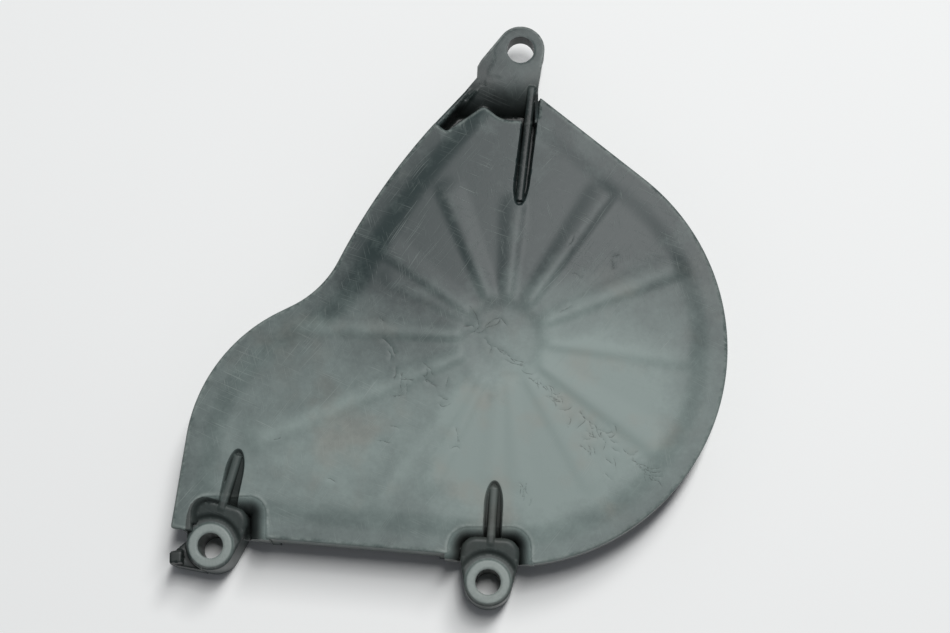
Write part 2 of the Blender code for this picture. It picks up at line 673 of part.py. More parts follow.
def main():
    for obj in list(bpy.data.objects):
        bpy.data.objects.remove(obj)
    cover = build_shell()
    gap = FOOT_GAP_X
    openings = [
        prism("chain_exit", CHAIN_EXIT, -2, CHAIN_EXIT_Z),
        prism("foot_gap", ((gap[0], -80), (gap[1], -80), (gap[1], -60), (gap[0], -60)), -2, FOOT_GAP_Z),
        prism("round_gap", sector(*ROUND_GAP), -2, ROUND_GAP_Z),
    ]
    for tool in openings:
        cut(cover, tool)
    solids, holes = [], []
    for name, lug in LUGS.items():
        more, bores = build_lug(name, lug)
        solids += more
        holes += bores
    more, bores = build_ear()
    solids += more + build_hook()
    holes += bores
    for tool in solids:
        add(cover, tool)
    for tool in holes:
        cut(cover, tool)
    cover.data.materials.append(nylon())
    cover.data.shade_smooth()
    cover.data.set_sharp_from_angle(angle=math.radians(32))


if __name__ == "__main__":
    main()
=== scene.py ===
"""Studio scene of a used motorcycle sprocket cover, moulded in black filled nylon.

The cover is rebuilt here in fine detail: a height field carries the rim band, the fan of soft
ridges, the dish over the shaft, the rolled edges of the bays, the lugs, the ear, the gussets and
the dark scratches. Walls drop from its edge, and the same hollow lies under it as in the plain solid.
"""

import math
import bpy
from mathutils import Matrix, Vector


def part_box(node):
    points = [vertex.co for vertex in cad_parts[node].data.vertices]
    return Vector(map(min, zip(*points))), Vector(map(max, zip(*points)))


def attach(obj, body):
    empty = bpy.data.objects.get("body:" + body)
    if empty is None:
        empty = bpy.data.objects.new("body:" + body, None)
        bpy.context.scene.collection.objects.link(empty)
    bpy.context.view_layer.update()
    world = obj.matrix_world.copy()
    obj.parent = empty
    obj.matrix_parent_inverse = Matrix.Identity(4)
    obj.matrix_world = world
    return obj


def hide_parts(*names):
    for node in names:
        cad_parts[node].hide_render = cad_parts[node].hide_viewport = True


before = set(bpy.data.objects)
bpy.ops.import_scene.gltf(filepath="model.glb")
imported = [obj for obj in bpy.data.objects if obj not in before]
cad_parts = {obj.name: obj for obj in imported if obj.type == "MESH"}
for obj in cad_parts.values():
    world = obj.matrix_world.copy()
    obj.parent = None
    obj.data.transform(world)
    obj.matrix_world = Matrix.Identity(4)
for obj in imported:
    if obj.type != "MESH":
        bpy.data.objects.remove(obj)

from types import SimpleNamespace

import bmesh
import bpy
import numpy as np
from bpy.props import FloatProperty, FloatVectorProperty, PointerProperty
from mathutils import Matrix, Vector
from mathutils.geometry import delaunay_2d_cdt
from mathutils.kdtree import KDTree

bl_info = {
    "name": "Sprocket cover studio",
    "version": (1, 0, 0),
    "blender": (4, 5, 0),
    "location": "View3D > Sidebar > Cover",
    "description": "Builds a worn nylon sprocket cover and a pale studio round it",
    "category": "Add Mesh",
}

MM = 0.001
NOWHERE = -50.0  # height that a form gets, in millimetres, where it doesn't reach

# Plan of the skin, in millimetres about the sprocket shaft; a corner is its place and its radius
ROUND_CENTRE = (1.35, -1.6)
ROUND_R = 72.6
ROUND_FROM, ROUND_TO = -84.2, 51.0  # ends of the round side, in degrees
NECK_X = 11.8
LOWER_CORNER = (-109.0, -61.9)
FOOT_START = (-77.2, -65.4)
FOOT_FALL = 0.0845  # how far the lower edge falls for each millimetre to the right
TAIL_FLANK = ((-22.9, 74.3, 0.6), (-41.7, 53.1, 220.0), (-60.2, 16.8, 34.0), (-100.2, -3.0, 55.0))
EAR_RIM = ((11.8, 75.8, 1.2), (5.6, 74.7, 0.8), (-0.4, 74.9, 9.5), (-6.6, 80.2, 2.2), (-19.2, 71.2, 1.4))

# Relief: angle in degrees, length from the shaft and share of the full rise of each ridge
RIDGES = (
    (175.4, 74.0, 1.0), (152.0, 46.0, 0.5), (142.5, 60.0, 0.9), (111.0, 56.0, 0.9), (84.0, 48.0, 0.9),
    (55.0, 62.0, 1.0), (22.5, 65.5, 1.0), (-6.3, 63.5, 0.9), (-36.0, 64.0, 1.0), (-60.0, 58.0, 0.6),
    (-83.0, 50.0, 0.6), (-95.0, 48.0, 0.5), (-116.0, 56.0, 0.8), (-127.5, 70.0, 0.6), (-157.8, 90.0, 1.0),
)
RIDGE_HALF, RIDGE_REACH = (3.2, 9.5), 66  # half width at the shaft and at the reach
RIDGE_SIDES = (0.65, 1.2)  # width of the steep and of the gentle side against the half width
CREST_HALF = 4.5
HUB_R = 12.0
HUB_EDGE = 5.0
DOME_REACH, DOME_EDGE = 98, 14  # where the crown has run out from the shaft, and from the panel's edge
RIDGE_ENDS = (5, 9)  # over how much a ridge rises beside the dish, and runs out at its end
CALM_TOP = (-3.75, 95.9, 9.0)  # the corner that the rim band follows in place of the ear

# Lugs, grooves and gussets
BORE_R = 4.2
SEAT_R, SEAT_Z, SEAT_RISE = 7.15, 22.0, 0.8
SPOTFACE_R = 9.8
NOSE_R, LUG_HALF, LUG_SHOULDER, LUG_LENGTH, LUG_CORNER, LUG_TILT = 8.0, 9.6, 7.0, 14.4, 5.0, 0.15
LUG_REACH = 24  # a lug ends within this of its bore
LUG_FOOT = (0.4, 1.3)  # run of a lug's wall and the fillet at its foot
BAY_FLOOR_Z = 14.0
BAY_ROLL = 4.2
TAIL_ROLL = (2.4, 3.4)  # the roll on the left of the tail's bay, and how much wider it is on the right
# Each lug: its bore and its lean in degrees; the sides, the top and the corners' radius of its bay; the lower
# ends of its tray; and how far the mouth of its groove lies to the right. The round side ends the lower bay.
LUGS = {
    "lower": {
        "bore": (-5.3, -79.3), "lean": 3.9, "left": -18.3, "right": None, "top": -61.8, "corner": 6.5,
        "tray": (-71.9, -74.0), "mouth": 0.3,
    },
    "tail": {
        "bore": (-96.3, -67.4), "lean": 16.8, "left": -102.3, "right": -77.9, "top": -51.7, "corner": 5.5,
        "tray": (-63.3, -65.9), "mouth": 1.7,
    },
}
GROOVE_HALF = (2.7, 2.3)  # in front of the lugs, and beside the ear's gusset
GROOVE_TIP = 8.0
GROOVE_WALL = 0.5
GROOVE_DROP = (6.2, 2.4)  # depth at the mouth and at the tip
LUG_GROOVE = (15.0, 32.3)  # mouth and tip, from the bore
GUSSET_HALF, GUSSET_LIP, GUSSET_FOOT = 1.4, 0.9, 0.35

# Ear and hook
EAR_BORE, EAR_BORE_R, EAR_NOSE_R = (5.9, 100.3), 4.6, 8.1
EAR_Z = (13.4, 22.0)  # underside and top
EAR_POCKET_Z = 15.2
EAR_ROLL = (94.0, 16.0)  # where the top begins to roll over into the pocket, and how long the roll is
EAR_LIP = (1.0, 3.8)  # rounding of the ear's edge, and how much rounder the left shoulder is
EAR_REACH = (-28, 42, 18)  # left, lower and right end of what the ear, its gusset and the flank take up
EAR_FROM_Y = 68
EAR_SIDE_Y = 60  # what lies outside the skin above this belongs to the ear
EAR_SHOULDER_Y = 87.6
EAR_LEFT = ((-7.5, 96.6), (-8.7, 94.4), (-8.9, 90.6))
EAR_GUSSET = ((9.8, 87.6), (5.1, 45.6))
RIM_PEAK = (-6.5, 79.5)  # where the skin's rim reaches furthest into the pocket
FLANK_RIB, FLANK_LIP = 1.7, 0.6
HOOK_ARM = ((-109.7, -73.2), (-99.2, -75.2), (-96.3, -67.4), (-102.5, -63.4), (-108.4, -68.9), (-109.7, -69.2))
HOOK_ARM_Z, HOOK_BLOCK_Z = 17.6, 20.6
HOOK_BLOCK_X, HOOK_BLOCK_Y = (-109.7, -105.7), (-73.0, -69.1)

# Openings in the skirt
CHAIN_EXIT = (
    (-117.0, -67.0), (-105.3, -67.0), (-105.3, -55.0), (-101.0, -50.0), (-101.0, -34.0), (-117.0, -34.0),
)
FOOT_GAP_X, FOOT_GAP_Y, FOOT_GAP_Z = (-74.5, -21.5), (-80, -60), 10.4
ROUND_GAP, ROUND_GAP_Z = (-93.0, -28.0), 16.0

# Rubbed light line, partly wear and partly a painted highlight on the rounded edge: how deep it lies inside an edge,
# and its half width, on the skin and on the ear's nose
RUB_GLINT_SKIN, RUB_GLINT_EAR = (0.7, 0.9), (0.35, 0.5)
EAR_NOSE_Y = 94

# Haze and painted sheen: centre, reach and amount of each soft patch on the skin's dull film of dried dirt and fine
# wear; a positive amount lightens it as painted sheen, a negative one darkens it as painted shade
HAZE_SHEEN = (
    (24.0, -25.0, 70.0, 0.86), (-62.0, -33.0, 72.0, 0.52), (-10.0, -55.0, 60.0, 0.3), (-12.0, 45.0, 70.0, -0.27),
    (45.0, 30.0, 44.0, -0.2), (42.0, -58.0, 30.0, -0.12),
)

# Dark scratches: centre, spread along and across, lean in degrees, length and number of the strokes in each bundle
SCRATCH_HALF, SCRATCH_DEPTH, SCRATCH_STEP = 0.17, 0.03, 0.6
SCRATCHES = (
    (-1.0, -4.0, 5.0, 0.5, -42, 4.0, 7), (12.0, -15.0, 4.0, 1.2, -42, 3.0, 11), (16.0, -20.0, 2.5, 0.9, -30, 2.5, 6),
    (31.0, -30.0, 6.0, 0.5, -42, 4.0, 12), (27.0, -33.0, 6.0, 1.8, -50, 1.6, 12), (45.0, -42.0, 4.0, 0.7, -42, 3.5, 11),
    (-36.0, -5.0, 5.0, 1.2, -66, 2.5, 10), (-23.0, -17.0, 6.0, 1.2, -62, 2.5, 10), (7.0, -50.0, 2.5, 1.0, -80, 1.6, 7),
    (30.0, 12.0, 20.0, 18.0, 20, 2.0, 6), (-50.0, -30.0, 20.0, 10.0, -15, 2.0, 6), (-7.0, 5.0, 2.0, 0.7, 35, 7.0, 4),
)

FINE = 0.5  # spacing of the points on the lugs, bays and ear
FINE_ZONES = ((-22, -89, 13, -43), (-112, -78, -73, -32), (-25, 66, 17, 110), (0, 43, 12, 66))
COARSE = 1.3  # and on the open skin
HARD_EDGE, UPRIGHT = 50, 0.02  # angle in degrees at which shading breaks, and the rise of a wall's normal
WELD = 0.008  # points nearer than this are one
LAYERS = ("crest", "rub_and_glint", "mark", "painted_shade", "bare", "sheen_film")  # what the surface tells the material


def size(name, millimetres, description):
    """A length that a user can change, kept in metres."""
    return FloatProperty(
        name=name, description=description, default=millimetres * MM, min=0, precision=5, unit="LENGTH"
    )


class CoverShape(bpy.types.PropertyGroup):
    """Sizes of the moulding."""

    wall: size("Wall", 2.4, "Thickness of the skin and the skirt")
    rim: size("Rim height", 25.4, "Height of the rim band above the engine face")
    lip: size("Lip rounding", 1.1, "Radius of the skin's outer edge")
    band: size("Rim band", 5.2, "Width of the flat band round the panel")
    slope: size("Band slope", 8.0, "Width of the slope from the band up to the panel")
    panel: size("Panel rise", 0.6, "Height of the panel above the band")
    crown: size("Crown", 1.6, "How much higher the panel is at the shaft than at its edge")
    dish: size("Dish depth", 0.45, "Depth of the round dish over the shaft")
    ridge: size("Ridge rise", 0.54, "Height of the longest ridges above the panel")


def place():
    """Where the shaft lies from the object's origin, which is the centre of its extent in plan."""
    right = ROUND_CENTRE[0] + ROUND_R
    left = min(x for x, _ in HOOK_ARM)
    back = EAR_BORE[1] + EAR_NOSE_R
    front = LUGS["lower"]["bore"][1] - NOSE_R
    return -(left + right) / 2, -(front + back) / 2


def on_circle(centre, radius, degrees):
    angle = math.radians(degrees)
    return centre[0] + radius * math.cos(angle), centre[1] + radius * math.sin(angle)


def away_from(centre, points):
    return np.hypot(points[:, 0] - centre[0], points[:, 1] - centre[1])


def sideways(axis):
    """The direction to the right of an axis."""
    return np.array((axis[1], -axis[0]))


def circle(centre, radius, step):
    count = max(24, int(2 * math.pi * radius / step))
    return np.array([on_circle(centre, radius, 360 * k / count) for k in range(count)])


def resample(path, step):
    """A closed path with extra points, so that no two neighbours lie more than step apart."""
    out = []
    for here, there in zip(path, np.roll(path, -1, axis=0)):
        count = max(1, math.ceil(np.linalg.norm(there - here) / step))
        out.extend(here + (there - here) * k / count for k in range(count))
    return np.array(out)


def rounded(corners, step):
    """Points of a closed anticlockwise path whose corners (x, y, radius) are filleted."""
    points = []
    for i, (x, y, radius) in enumerate(corners):
        corner = np.array((x, y), float)
        back = np.array(corners[i - 1][:2]) - corner
        ahead = np.array(corners[(i + 1) % len(corners)][:2]) - corner
        back /= np.linalg.norm(back)
        ahead /= np.linalg.norm(ahead)
        if radius <= 0:
            points.append(corner)
            continue
        half = math.acos(max(-1.0, min(1.0, back @ ahead))) / 2
        middle = back + ahead
        centre = corner + middle / np.linalg.norm(middle) * radius / math.sin(half)
        start = corner + back * radius / math.tan(half) - centre
        turn = math.pi - 2 * half
        if back[0] * ahead[1] - back[1] * ahead[0] > 0:
            turn = -turn
        count = max(4, math.ceil(abs(turn) * radius / step))
        for k in range(count + 1):
            c, s = math.cos(turn * k / count), math.sin(turn * k / count)
            points.append(centre + (c * start[0] - s * start[1], s * start[0] + c * start[1]))
    points = [p for p, q in zip(points, points[1:] + points[:1]) if np.linalg.norm(p - q) > 1e-6]
    return resample(np.array(points), step)


def distance_to(path, points, closed=True):
    """Distance of each point from a path."""
    a = path if closed else path[:-1]
    b = np.roll(path, -1, axis=0) if closed else path[1:]
    best = np.full(len(points), np.inf)
    for start, along in zip(a, b - a):
        t = np.clip((points - start) @ along / (along @ along), 0, 1)
        gap = points - start - t[:, None] * along
        best = np.minimum(best, gap[:, 0] ** 2 + gap[:, 1] ** 2)
    return np.sqrt(best)


def inside(path, points):
    """Whether each point lies inside a closed path."""
    hit = np.zeros(len(points), bool)
    for (ax, ay), (bx, by) in zip(path, np.roll(path, -1, axis=0)):
        if ay == by:
            continue
        crosses = (ay > points[:, 1]) != (by > points[:, 1])
        hit ^= crosses & (points[:, 0] < (bx - ax) * (points[:, 1] - ay) / (by - ay) + ax)
    return hit


def depth_in(path, points):
    """Distance inside a closed path, negative outside it."""
    return np.where(inside(path, points), 1, -1) * distance_to(path, points)


def offset(path, distance):
    """Points of the path moved inwards, or outwards if negative, without those that come too near to it."""
    before = path - np.roll(path, 1, axis=0)
    after = np.roll(path, -1, axis=0) - path
    before /= np.linalg.norm(before, axis=1)[:, None]
    after /= np.linalg.norm(after, axis=1)[:, None]
    normal = np.c_[-(before + after)[:, 1], (before + after)[:, 0]]
    normal /= np.linalg.norm(normal, axis=1)[:, None]
    moved = path + normal * distance
    far = distance_to(path, moved) > abs(distance) * 0.97
    return moved[far & (inside(path, moved) == (distance > 0))]


def smooth(t):
    t = np.clip(t, 0, 1)
    return t * t * (3 - 2 * t)


def smooth_max(a, b, blend):
    """The higher of two surfaces, with the crease between them rounded off."""
    h = np.clip(blend - np.abs(a - b), 0, None) / blend
    return np.maximum(a, b) + h * h * blend / 4


def lip(depth, radius):
    """How far a rounded edge has dropped at a depth inside it; outside it, as far as it ever does."""
    t = np.clip(1 - depth / radius, 0, 1)
    return radius * (1 - np.sqrt(1 - (0.97 * t) ** 2))


def apron(away, top, floor, run, fillet):
    """Height at a distance away from an edge: a wall that falls from top over a short run, then a fillet."""
    wall = top + (floor + fillet - top) * away / run
    t = np.clip(1 - (away - run) / fillet, 0, 1)
    return np.where(away < run, wall, floor + fillet * (1 - np.sqrt(1 - t * t)))


def skin_corners(bays):
    """Corners of the skin's plan, with the lugs' bays or with the lower edge drawn straight across them."""
    start = on_circle(ROUND_CENTRE, ROUND_R, ROUND_FROM)
    half = math.radians(ROUND_TO - ROUND_FROM) / 2
    far = on_circle(ROUND_CENTRE, ROUND_R / math.cos(half), (ROUND_FROM + ROUND_TO) / 2)
    end = on_circle(ROUND_CENTRE, ROUND_R, ROUND_TO)
    neck_y = end[1] + (NECK_X - end[0]) * math.tan(math.radians(ROUND_TO + 90))
    corners = [(*far, ROUND_R), (NECK_X, neck_y, 0.6), *EAR_RIM, *TAIL_FLANK, (*LOWER_CORNER, 0.8)]
    if bays:
        tail, lower = LUGS["tail"], LUGS["lower"]
        corners += [
            (tail["left"], LOWER_CORNER[1] - 0.9, 0.6), (tail["left"], tail["top"], tail["corner"]),
            (tail["right"], tail["top"], tail["corner"]), (tail["right"], FOOT_START[1], 0.6),
            (lower["left"], FOOT_START[1] - FOOT_FALL * (lower["left"] - FOOT_START[0]), 0.6),
            (lower["left"], lower["top"], lower["corner"]), (start[0], lower["top"], lower["corner"]),
        ]
    corners.append((*start, 0))
    return corners


class Groove:
    """A tapering finger in the skin, straight from its mouth to its round tip."""

    def __init__(self, mouth, tip, half):
        self.mouth, tip = np.array(mouth), np.array(tip)
        run = tip - self.mouth
        self.along = run / np.linalg.norm(run)
        self.across = sideways(self.along)
        self.half, self.length = half, np.linalg.norm(run) - GROOVE_TIP

    def edge(self, points):
        """How far each point lies outside the groove's edge, negative within it, and its share of the length."""
        local = points - self.mouth
        s, t = local @ self.along, np.abs(local @ self.across)
        u, v = np.clip(s - self.length, 1e-6, None) / GROOVE_TIP, t / self.half
        f = np.hypot(u, v)
        pointed = f * (f - 1) / np.hypot(u / GROOVE_TIP, v / self.half)
        return np.where(s > self.length, pointed, t - self.half), np.clip(s / (self.length + GROOVE_TIP), 0, 1)

    def outline(self, outside, step=0.8):
        """An open path at a distance outside the groove's edge, up one side, round the tip and back."""
        shares = np.linspace(-0.12, 1.0, int(self.length / step))
        path = [(share * self.length, self.half + outside) for share in shares]
        for angle in np.radians(np.linspace(86, 0, 22)):
            path.append((
                self.length + (GROOVE_TIP + outside) * math.cos(angle), (self.half + outside) * math.sin(angle)
            ))
        path += [(s, -t) for s, t in reversed(path[:-1])]
        return np.array([self.mouth + s * self.along + t * self.across for s, t in path])


def groove_drop(share):
    """Depth of a groove at a share of its length."""
    return GROOVE_DROP[0] + (GROOVE_DROP[1] - GROOVE_DROP[0]) * share


def lug_axis(lug):
    lean = math.radians(lug["lean"])
    return np.array((math.sin(lean), math.cos(lean)))


def bay_sides(lug):
    """Left and right side of a lug's bay."""
    return lug["left"], lug["right"] or on_circle(ROUND_CENTRE, ROUND_R, ROUND_FROM)[0]


def find_grooves():
    """The grooves of both lugs and of the ear."""
    found = []
    for lug in LUGS.values():
        axis = lug_axis(lug)
        mouth, tip = (np.array(lug["bore"]) + axis * d for d in LUG_GROOVE)
        found.append(Groove(mouth + sideways(axis) * lug["mouth"], tip, GROOVE_HALF[0]))
    ear, tip = (np.array(point) for point in EAR_GUSSET)
    found.append(Groove(ear + (tip - ear) * 0.22 + (0.5, 0), tip, GROOVE_HALF[1]))
    return found


def lug_plan(lug, step):
    """Outline of a lug: a round nose about the bore, widening to a body with rounded far corners."""
    reach = math.hypot(LUG_HALF, LUG_SHOULDER)
    tangent = math.atan2(LUG_SHOULDER, LUG_HALF) - math.acos(NOSE_R / reach)
    axis = lug_axis(lug)
    across = sideways(axis)
    local = rounded(
        (
            (LUG_HALF, LUG_SHOULDER, 2.0), (LUG_HALF, LUG_LENGTH, LUG_CORNER), (-LUG_HALF, LUG_LENGTH, LUG_CORNER),
            (-LUG_HALF, LUG_SHOULDER, 2.0), (0, NOSE_R / math.sin(tangent), NOSE_R),
        ),
        step,
    )
    return np.array(lug["bore"]) + local[:, :1] * across + local[:, 1:] * axis


def tray_plan(lug, wall, step):
    """Outline of the floor under a lug, which reaches beneath the bay's wall."""
    left, right = bay_sides(lug)
    top, corner = lug["top"] + wall, lug["corner"] + wall
    return rounded(
        (
            (left - wall, lug["tray"][0], 0), (right + wall, lug["tray"][1], 0),
            (right + wall, top, corner), (left - wall, top, corner),
        ),
        step,
    )


def ear_plan(step):
    """Outline of the ear: a round nose about the bore, a slanted left side and a straight end in the pocket."""
    bore = np.array(EAR_BORE)
    first = np.array(EAR_LEFT[0])
    reach = np.linalg.norm(first - bore)
    heading = math.degrees(math.atan2(*(first - bore)[::-1])) % 360 - math.degrees(math.acos(EAR_NOSE_R / reach))
    nose = [on_circle(bore, EAR_NOSE_R, a) for a in np.linspace(-22, heading, 40)]
    return resample(np.array(nose + [*EAR_LEFT, (-7.4, EAR_SHOULDER_Y), (NECK_X, EAR_SHOULDER_Y)]), step)


def flank_frame():
    """Start, direction, inward direction and length of the sloping wall on the pocket's left side."""
    start, end = np.array(EAR_LEFT[-1]), np.array(TAIL_FLANK[0][:2])
    down = (end - start) / np.linalg.norm(end - start)
    return start, down, np.array((-down[1], down[0])), np.linalg.norm(end - start) + 1.6


def flank_plan(step):
    start, down, inward, length = flank_frame()
    end = start + down * length
    return resample(np.array((start, end, end + inward * FLANK_RIB, start + inward * FLANK_RIB)), step)


def pocket_plan(step):
    """Outline of the pocket between the ear, the flank and the skin, which it reaches beneath."""
    start, down, inward, length = flank_frame()
    end = start + down * (length - 2.1)
    rim = [(x, y - 2.4) for x, y, _ in EAR_RIM]
    return resample(
        np.array([
            (NECK_X, EAR_SHOULDER_Y + 2), (-7.4, EAR_SHOULDER_Y + 2), tuple(start), tuple(end),
            tuple(end + inward * 4), rim[4], rim[3], rim[2], rim[1], (NECK_X, rim[0][1]),
        ]),
        step,
    )


class Surface:
    """The cover's upper side as one height for each point of its plan."""

    def __init__(self, shape):
        self.s = shape
        self.skin = rounded(skin_corners(True), 0.9)
        calm = [corner for corner in skin_corners(False) if corner not in EAR_RIM and corner != TAIL_FLANK[0]]
        calm[1] = CALM_TOP
        self.calm = rounded(calm, 1.5)
        self.grooves = find_grooves()
        self.lugs = {name: lug_plan(lug, FINE) for name, lug in LUGS.items()}
        self.trays = {name: tray_plan(lug, 1.2, FINE) for name, lug in LUGS.items()}
        self.ear, self.flank, self.pocket = ear_plan(FINE), flank_plan(FINE), pocket_plan(FINE)
        self.arm = resample(np.array(HOOK_ARM), FINE)
        self.strokes = self.scores()

    def relief(self, points):
        """Broad surface of the skin: rim band, panel, crown, dish and ridges."""
        s = self.s
        r = np.hypot(points[:, 0], points[:, 1])
        gap = depth_in(self.calm, points)
        panel = smooth((gap - s.band) / s.slope)
        dish = smooth((HUB_R + HUB_EDGE / 2 - r) / HUB_EDGE)
        dome = 0.5 + 0.5 * np.cos(math.pi * np.clip(r / DOME_REACH, 0, 1))
        crown = s.crown * dome * smooth(gap / DOME_EDGE)
        return s.rim + panel * s.panel + crown - s.dish * dish + self.ridges(points, panel)

    def ridges(self, points, panel):
        """Rise of the fan of ridges, each steeper on the side that faces the lower right."""
        rise = np.zeros(len(points))
        for degrees, length, share in RIDGES:
            angle = math.radians(degrees)
            along = points @ (math.cos(angle), math.sin(angle))
            side = points @ (-math.sin(angle), math.cos(angle))
            # the sides that look this way are steep: down, and a little to the right
            steep = side * (-0.35 * math.sin(angle) - math.cos(angle)) > 0
            half = RIDGE_HALF[0] + (RIDGE_HALF[1] - RIDGE_HALF[0]) * np.clip(along / RIDGE_REACH, 0, 1.3)
            crest = 0.5 + 0.5 * np.cos(math.pi * np.clip(np.abs(side) / half / np.where(steep, *RIDGE_SIDES), 0, 1))
            fade = smooth((along - HUB_R + 0.5) / RIDGE_ENDS[0])
            fade = fade * smooth((length + 5 - along) / RIDGE_ENDS[1])
            rise = smooth_max(rise, self.s.ridge * share * crest * fade, 0.12)
        return rise * (0.25 + 0.75 * panel)

    def wear(self, points):
        """The layers: ridges' crests, rubbed edges that are partly a painted highlight, dark scratches, painted shade,
        bare seats, and soft patches of painted sheen.
        """
        crest = np.zeros(len(points))
        for degrees, length, share in RIDGES:
            angle = math.radians(degrees)
            along = points @ (math.cos(angle), math.sin(angle))
            off = np.abs(points @ (-math.sin(angle), math.cos(angle)))
            ends = smooth((along - HUB_R) / 3) * smooth((length - along) / 8)
            crest = np.maximum(crest, share * smooth(1 - off / CREST_HALF) * ends)
        depth = depth_in(self.skin, points)
        # a light line along the rounded edges: partly rubbed wear, partly a painted highlight where the edge catches
        # the light
        rub_and_glint = smooth(1 - np.abs(depth - RUB_GLINT_SKIN[0]) / RUB_GLINT_SKIN[1])
        nose = smooth(1 - np.abs(depth_in(self.ear, points) - RUB_GLINT_EAR[0]) / RUB_GLINT_EAR[1])
        rub_and_glint = np.maximum(rub_and_glint, nose * (points[:, 1] > EAR_NOSE_Y))
        # painted sheen and shade: soft patches lighten the skin low down and darken it towards the top
        sheen_film = np.zeros(len(points))
        for x, y, reach, amount in HAZE_SHEEN:
            sheen_film += amount * smooth(1 - away_from((x, y), points) / reach)
        return crest, rub_and_glint, self.marks(points), self.shade(points), self.seats(points), sheen_film

    def shade(self, points):
        """How much painted shade each point gets: darker in the sunk recesses, in the grooves and on the lugs'
        platforms.
        """
        under = self.relief(points) - self.height(points)
        depth = depth_in(self.skin, points)
        # painted shade: the deeper a place lies under the skin, and in the bays the further out, the darker it is
        # painted
        dirt_and_shade = np.maximum(0.9 * smooth((under - 0.9) / 5), 0.85 * smooth(-depth / 3.4) * (points[:, 1] < 0))
        skin = smooth((depth + 4) / 2)
        # painted shade in the grooves
        for groove in self.grooves:
            out, _ = groove.edge(points)
            dirt_and_shade = np.maximum(dirt_and_shade, skin * smooth(0.3 - out) * (0.6 + 0.32 * smooth((under - 1.8) / 2)))
        # painted shade on the lugs' platforms, with their seats left light
        for name, lug in LUGS.items():
            r = away_from(lug["bore"], points)
            dirt_and_shade = np.where(depth_in(self.lugs[name], points) > -0.3, 0.8 * smooth((r - SEAT_R) / 1.2), dirt_and_shade)
        # painted shade is slight round the ear's bore and dark in its pocket
        r = away_from(EAR_BORE, points)
        dirt_and_shade = dirt_and_shade * (0.1 + 0.9 * smooth((r - 6) / 12))
        below = smooth((89 - points[:, 1]) / 9) * smooth((under - 1.5) / 2.5)
        return np.where(points[:, 1] > EAR_FROM_Y, np.maximum(dirt_and_shade, below), dirt_and_shade)

    def seats(self, points):
        """Where bolt heads have rubbed the seats bare."""
        bare = np.zeros(len(points))
        for lug in LUGS.values():
            r = away_from(lug["bore"], points)
            bare = np.maximum(bare, smooth((SEAT_R + 0.2 - r) / 0.4))
        return bare

    def lip_radius(self, points):
        """Rounding of the skin's edge, which is rounder on the pocket's rim."""
        radius = np.full(len(points), float(self.s.lip))
        radius += 0.9 * smooth(1.6 - away_from(RIM_PEAK, points) / 7.0)
        for lug in LUGS.values():
            left, right = bay_sides(lug)
            x = np.maximum(left - points[:, 0], points[:, 0] - right)
            away = np.hypot(np.clip(x, 0, None), np.clip(points[:, 1] - lug["top"], 0, None))
            # in the bays the edge rolls over on its outer side instead
            radius += (0.3 - self.s.lip) * smooth(2.0 - away / 2.0) * smooth((points[:, 1] - lug["tray"][1] + 1.0) / 3)
        return radius

    def bay_wall(self, points, away, foot):
        """The side of a bay: a roll down from the skin, widest on the right of the tail's lug."""
        wide = np.where(points[:, 0] < -60, TAIL_ROLL[0] + TAIL_ROLL[1] * smooth((points[:, 0] + 99) / 14), BAY_ROLL)
        t = np.clip(away / wide, 0, 1)
        return BAY_FLOOR_Z + (foot - BAY_FLOOR_Z) * np.sqrt(1 - t * t)

    def scores(self):
        """Dark scratches: bundles of wandering strokes, laid in the same places every time."""
        random = np.random.default_rng(11)
        strokes = []
        for x, y, along, across, lean, length, count in SCRATCHES:
            c, s = math.cos(math.radians(lean)), math.sin(math.radians(lean))
            for _ in range(count):
                a, b = random.normal() * along, random.normal() * across
                here = np.array((x + c * a - s * b, y + s * a + c * b))
                turn = math.radians(lean + random.normal() * 13)
                bend = random.normal() * 0.1
                path = [here]
                for _ in range(max(3, int(length / SCRATCH_STEP * random.uniform(0.3, 1.5)))):
                    turn += bend + random.normal() * 0.3
                    here = here + (SCRATCH_STEP * math.cos(turn), SCRATCH_STEP * math.sin(turn))
                    path.append(here)
                strokes.append(np.array(path))
        return strokes

    def marks(self, points):
        """How far each point lies in a dark scratch."""
        near = np.full(len(points), 9.0)
        for path in self.strokes:
            low, high = path.min(0) - 1, path.max(0) + 1
            pick = np.all((points > low) & (points < high), axis=1)
            near[pick] = np.minimum(near[pick], distance_to(path, points[pick], closed=False))
        return smooth(1 - near / SCRATCH_HALF)

    def height(self, points):
        """The whole upper side: skin, grooves, bays, lugs, gussets, ear and hook."""
        relief = self.relief(points)
        radius = self.lip_radius(points)
        depth = depth_in(self.skin, points)
        up = points[:, 1] > EAR_SIDE_Y
        edge = relief - lip(depth, radius) - SCRATCH_DEPTH * self.marks(points)
        cut = np.zeros(len(points))
        for groove in self.grooves:
            out, share = groove.edge(points)
            cut = np.maximum(cut, groove_drop(share) * smooth(0.5 - out / GROOVE_WALL / 2))
        foot = relief - radius * (1 - math.sqrt(1 - 0.97 ** 2))
        floor = np.where(up, self.roll(points), BAY_FLOOR_Z)
        outside = np.where(up, apron(-depth, foot, floor, 0.8, 1.4), self.bay_wall(points, -depth, foot))
        for lug in LUGS.values():
            r = away_from(lug["bore"], points)
            outside = np.where(r < SPOTFACE_R - 0.8, np.minimum(outside, SEAT_Z - SEAT_RISE - 0.4), outside)
        z = np.where(depth >= 0, edge - cut, np.maximum(outside - cut, floor))
        for name, lug in LUGS.items():
            z = smooth_max(z, self.lug_height(lug, self.lugs[name], points), 0.3)
            z = smooth_max(z, self.gusset_height(lug, points), 0.25)
        z = smooth_max(z, self.ear_height(points), 0.3)
        return smooth_max(z, self.arm_height(points), 0.2)

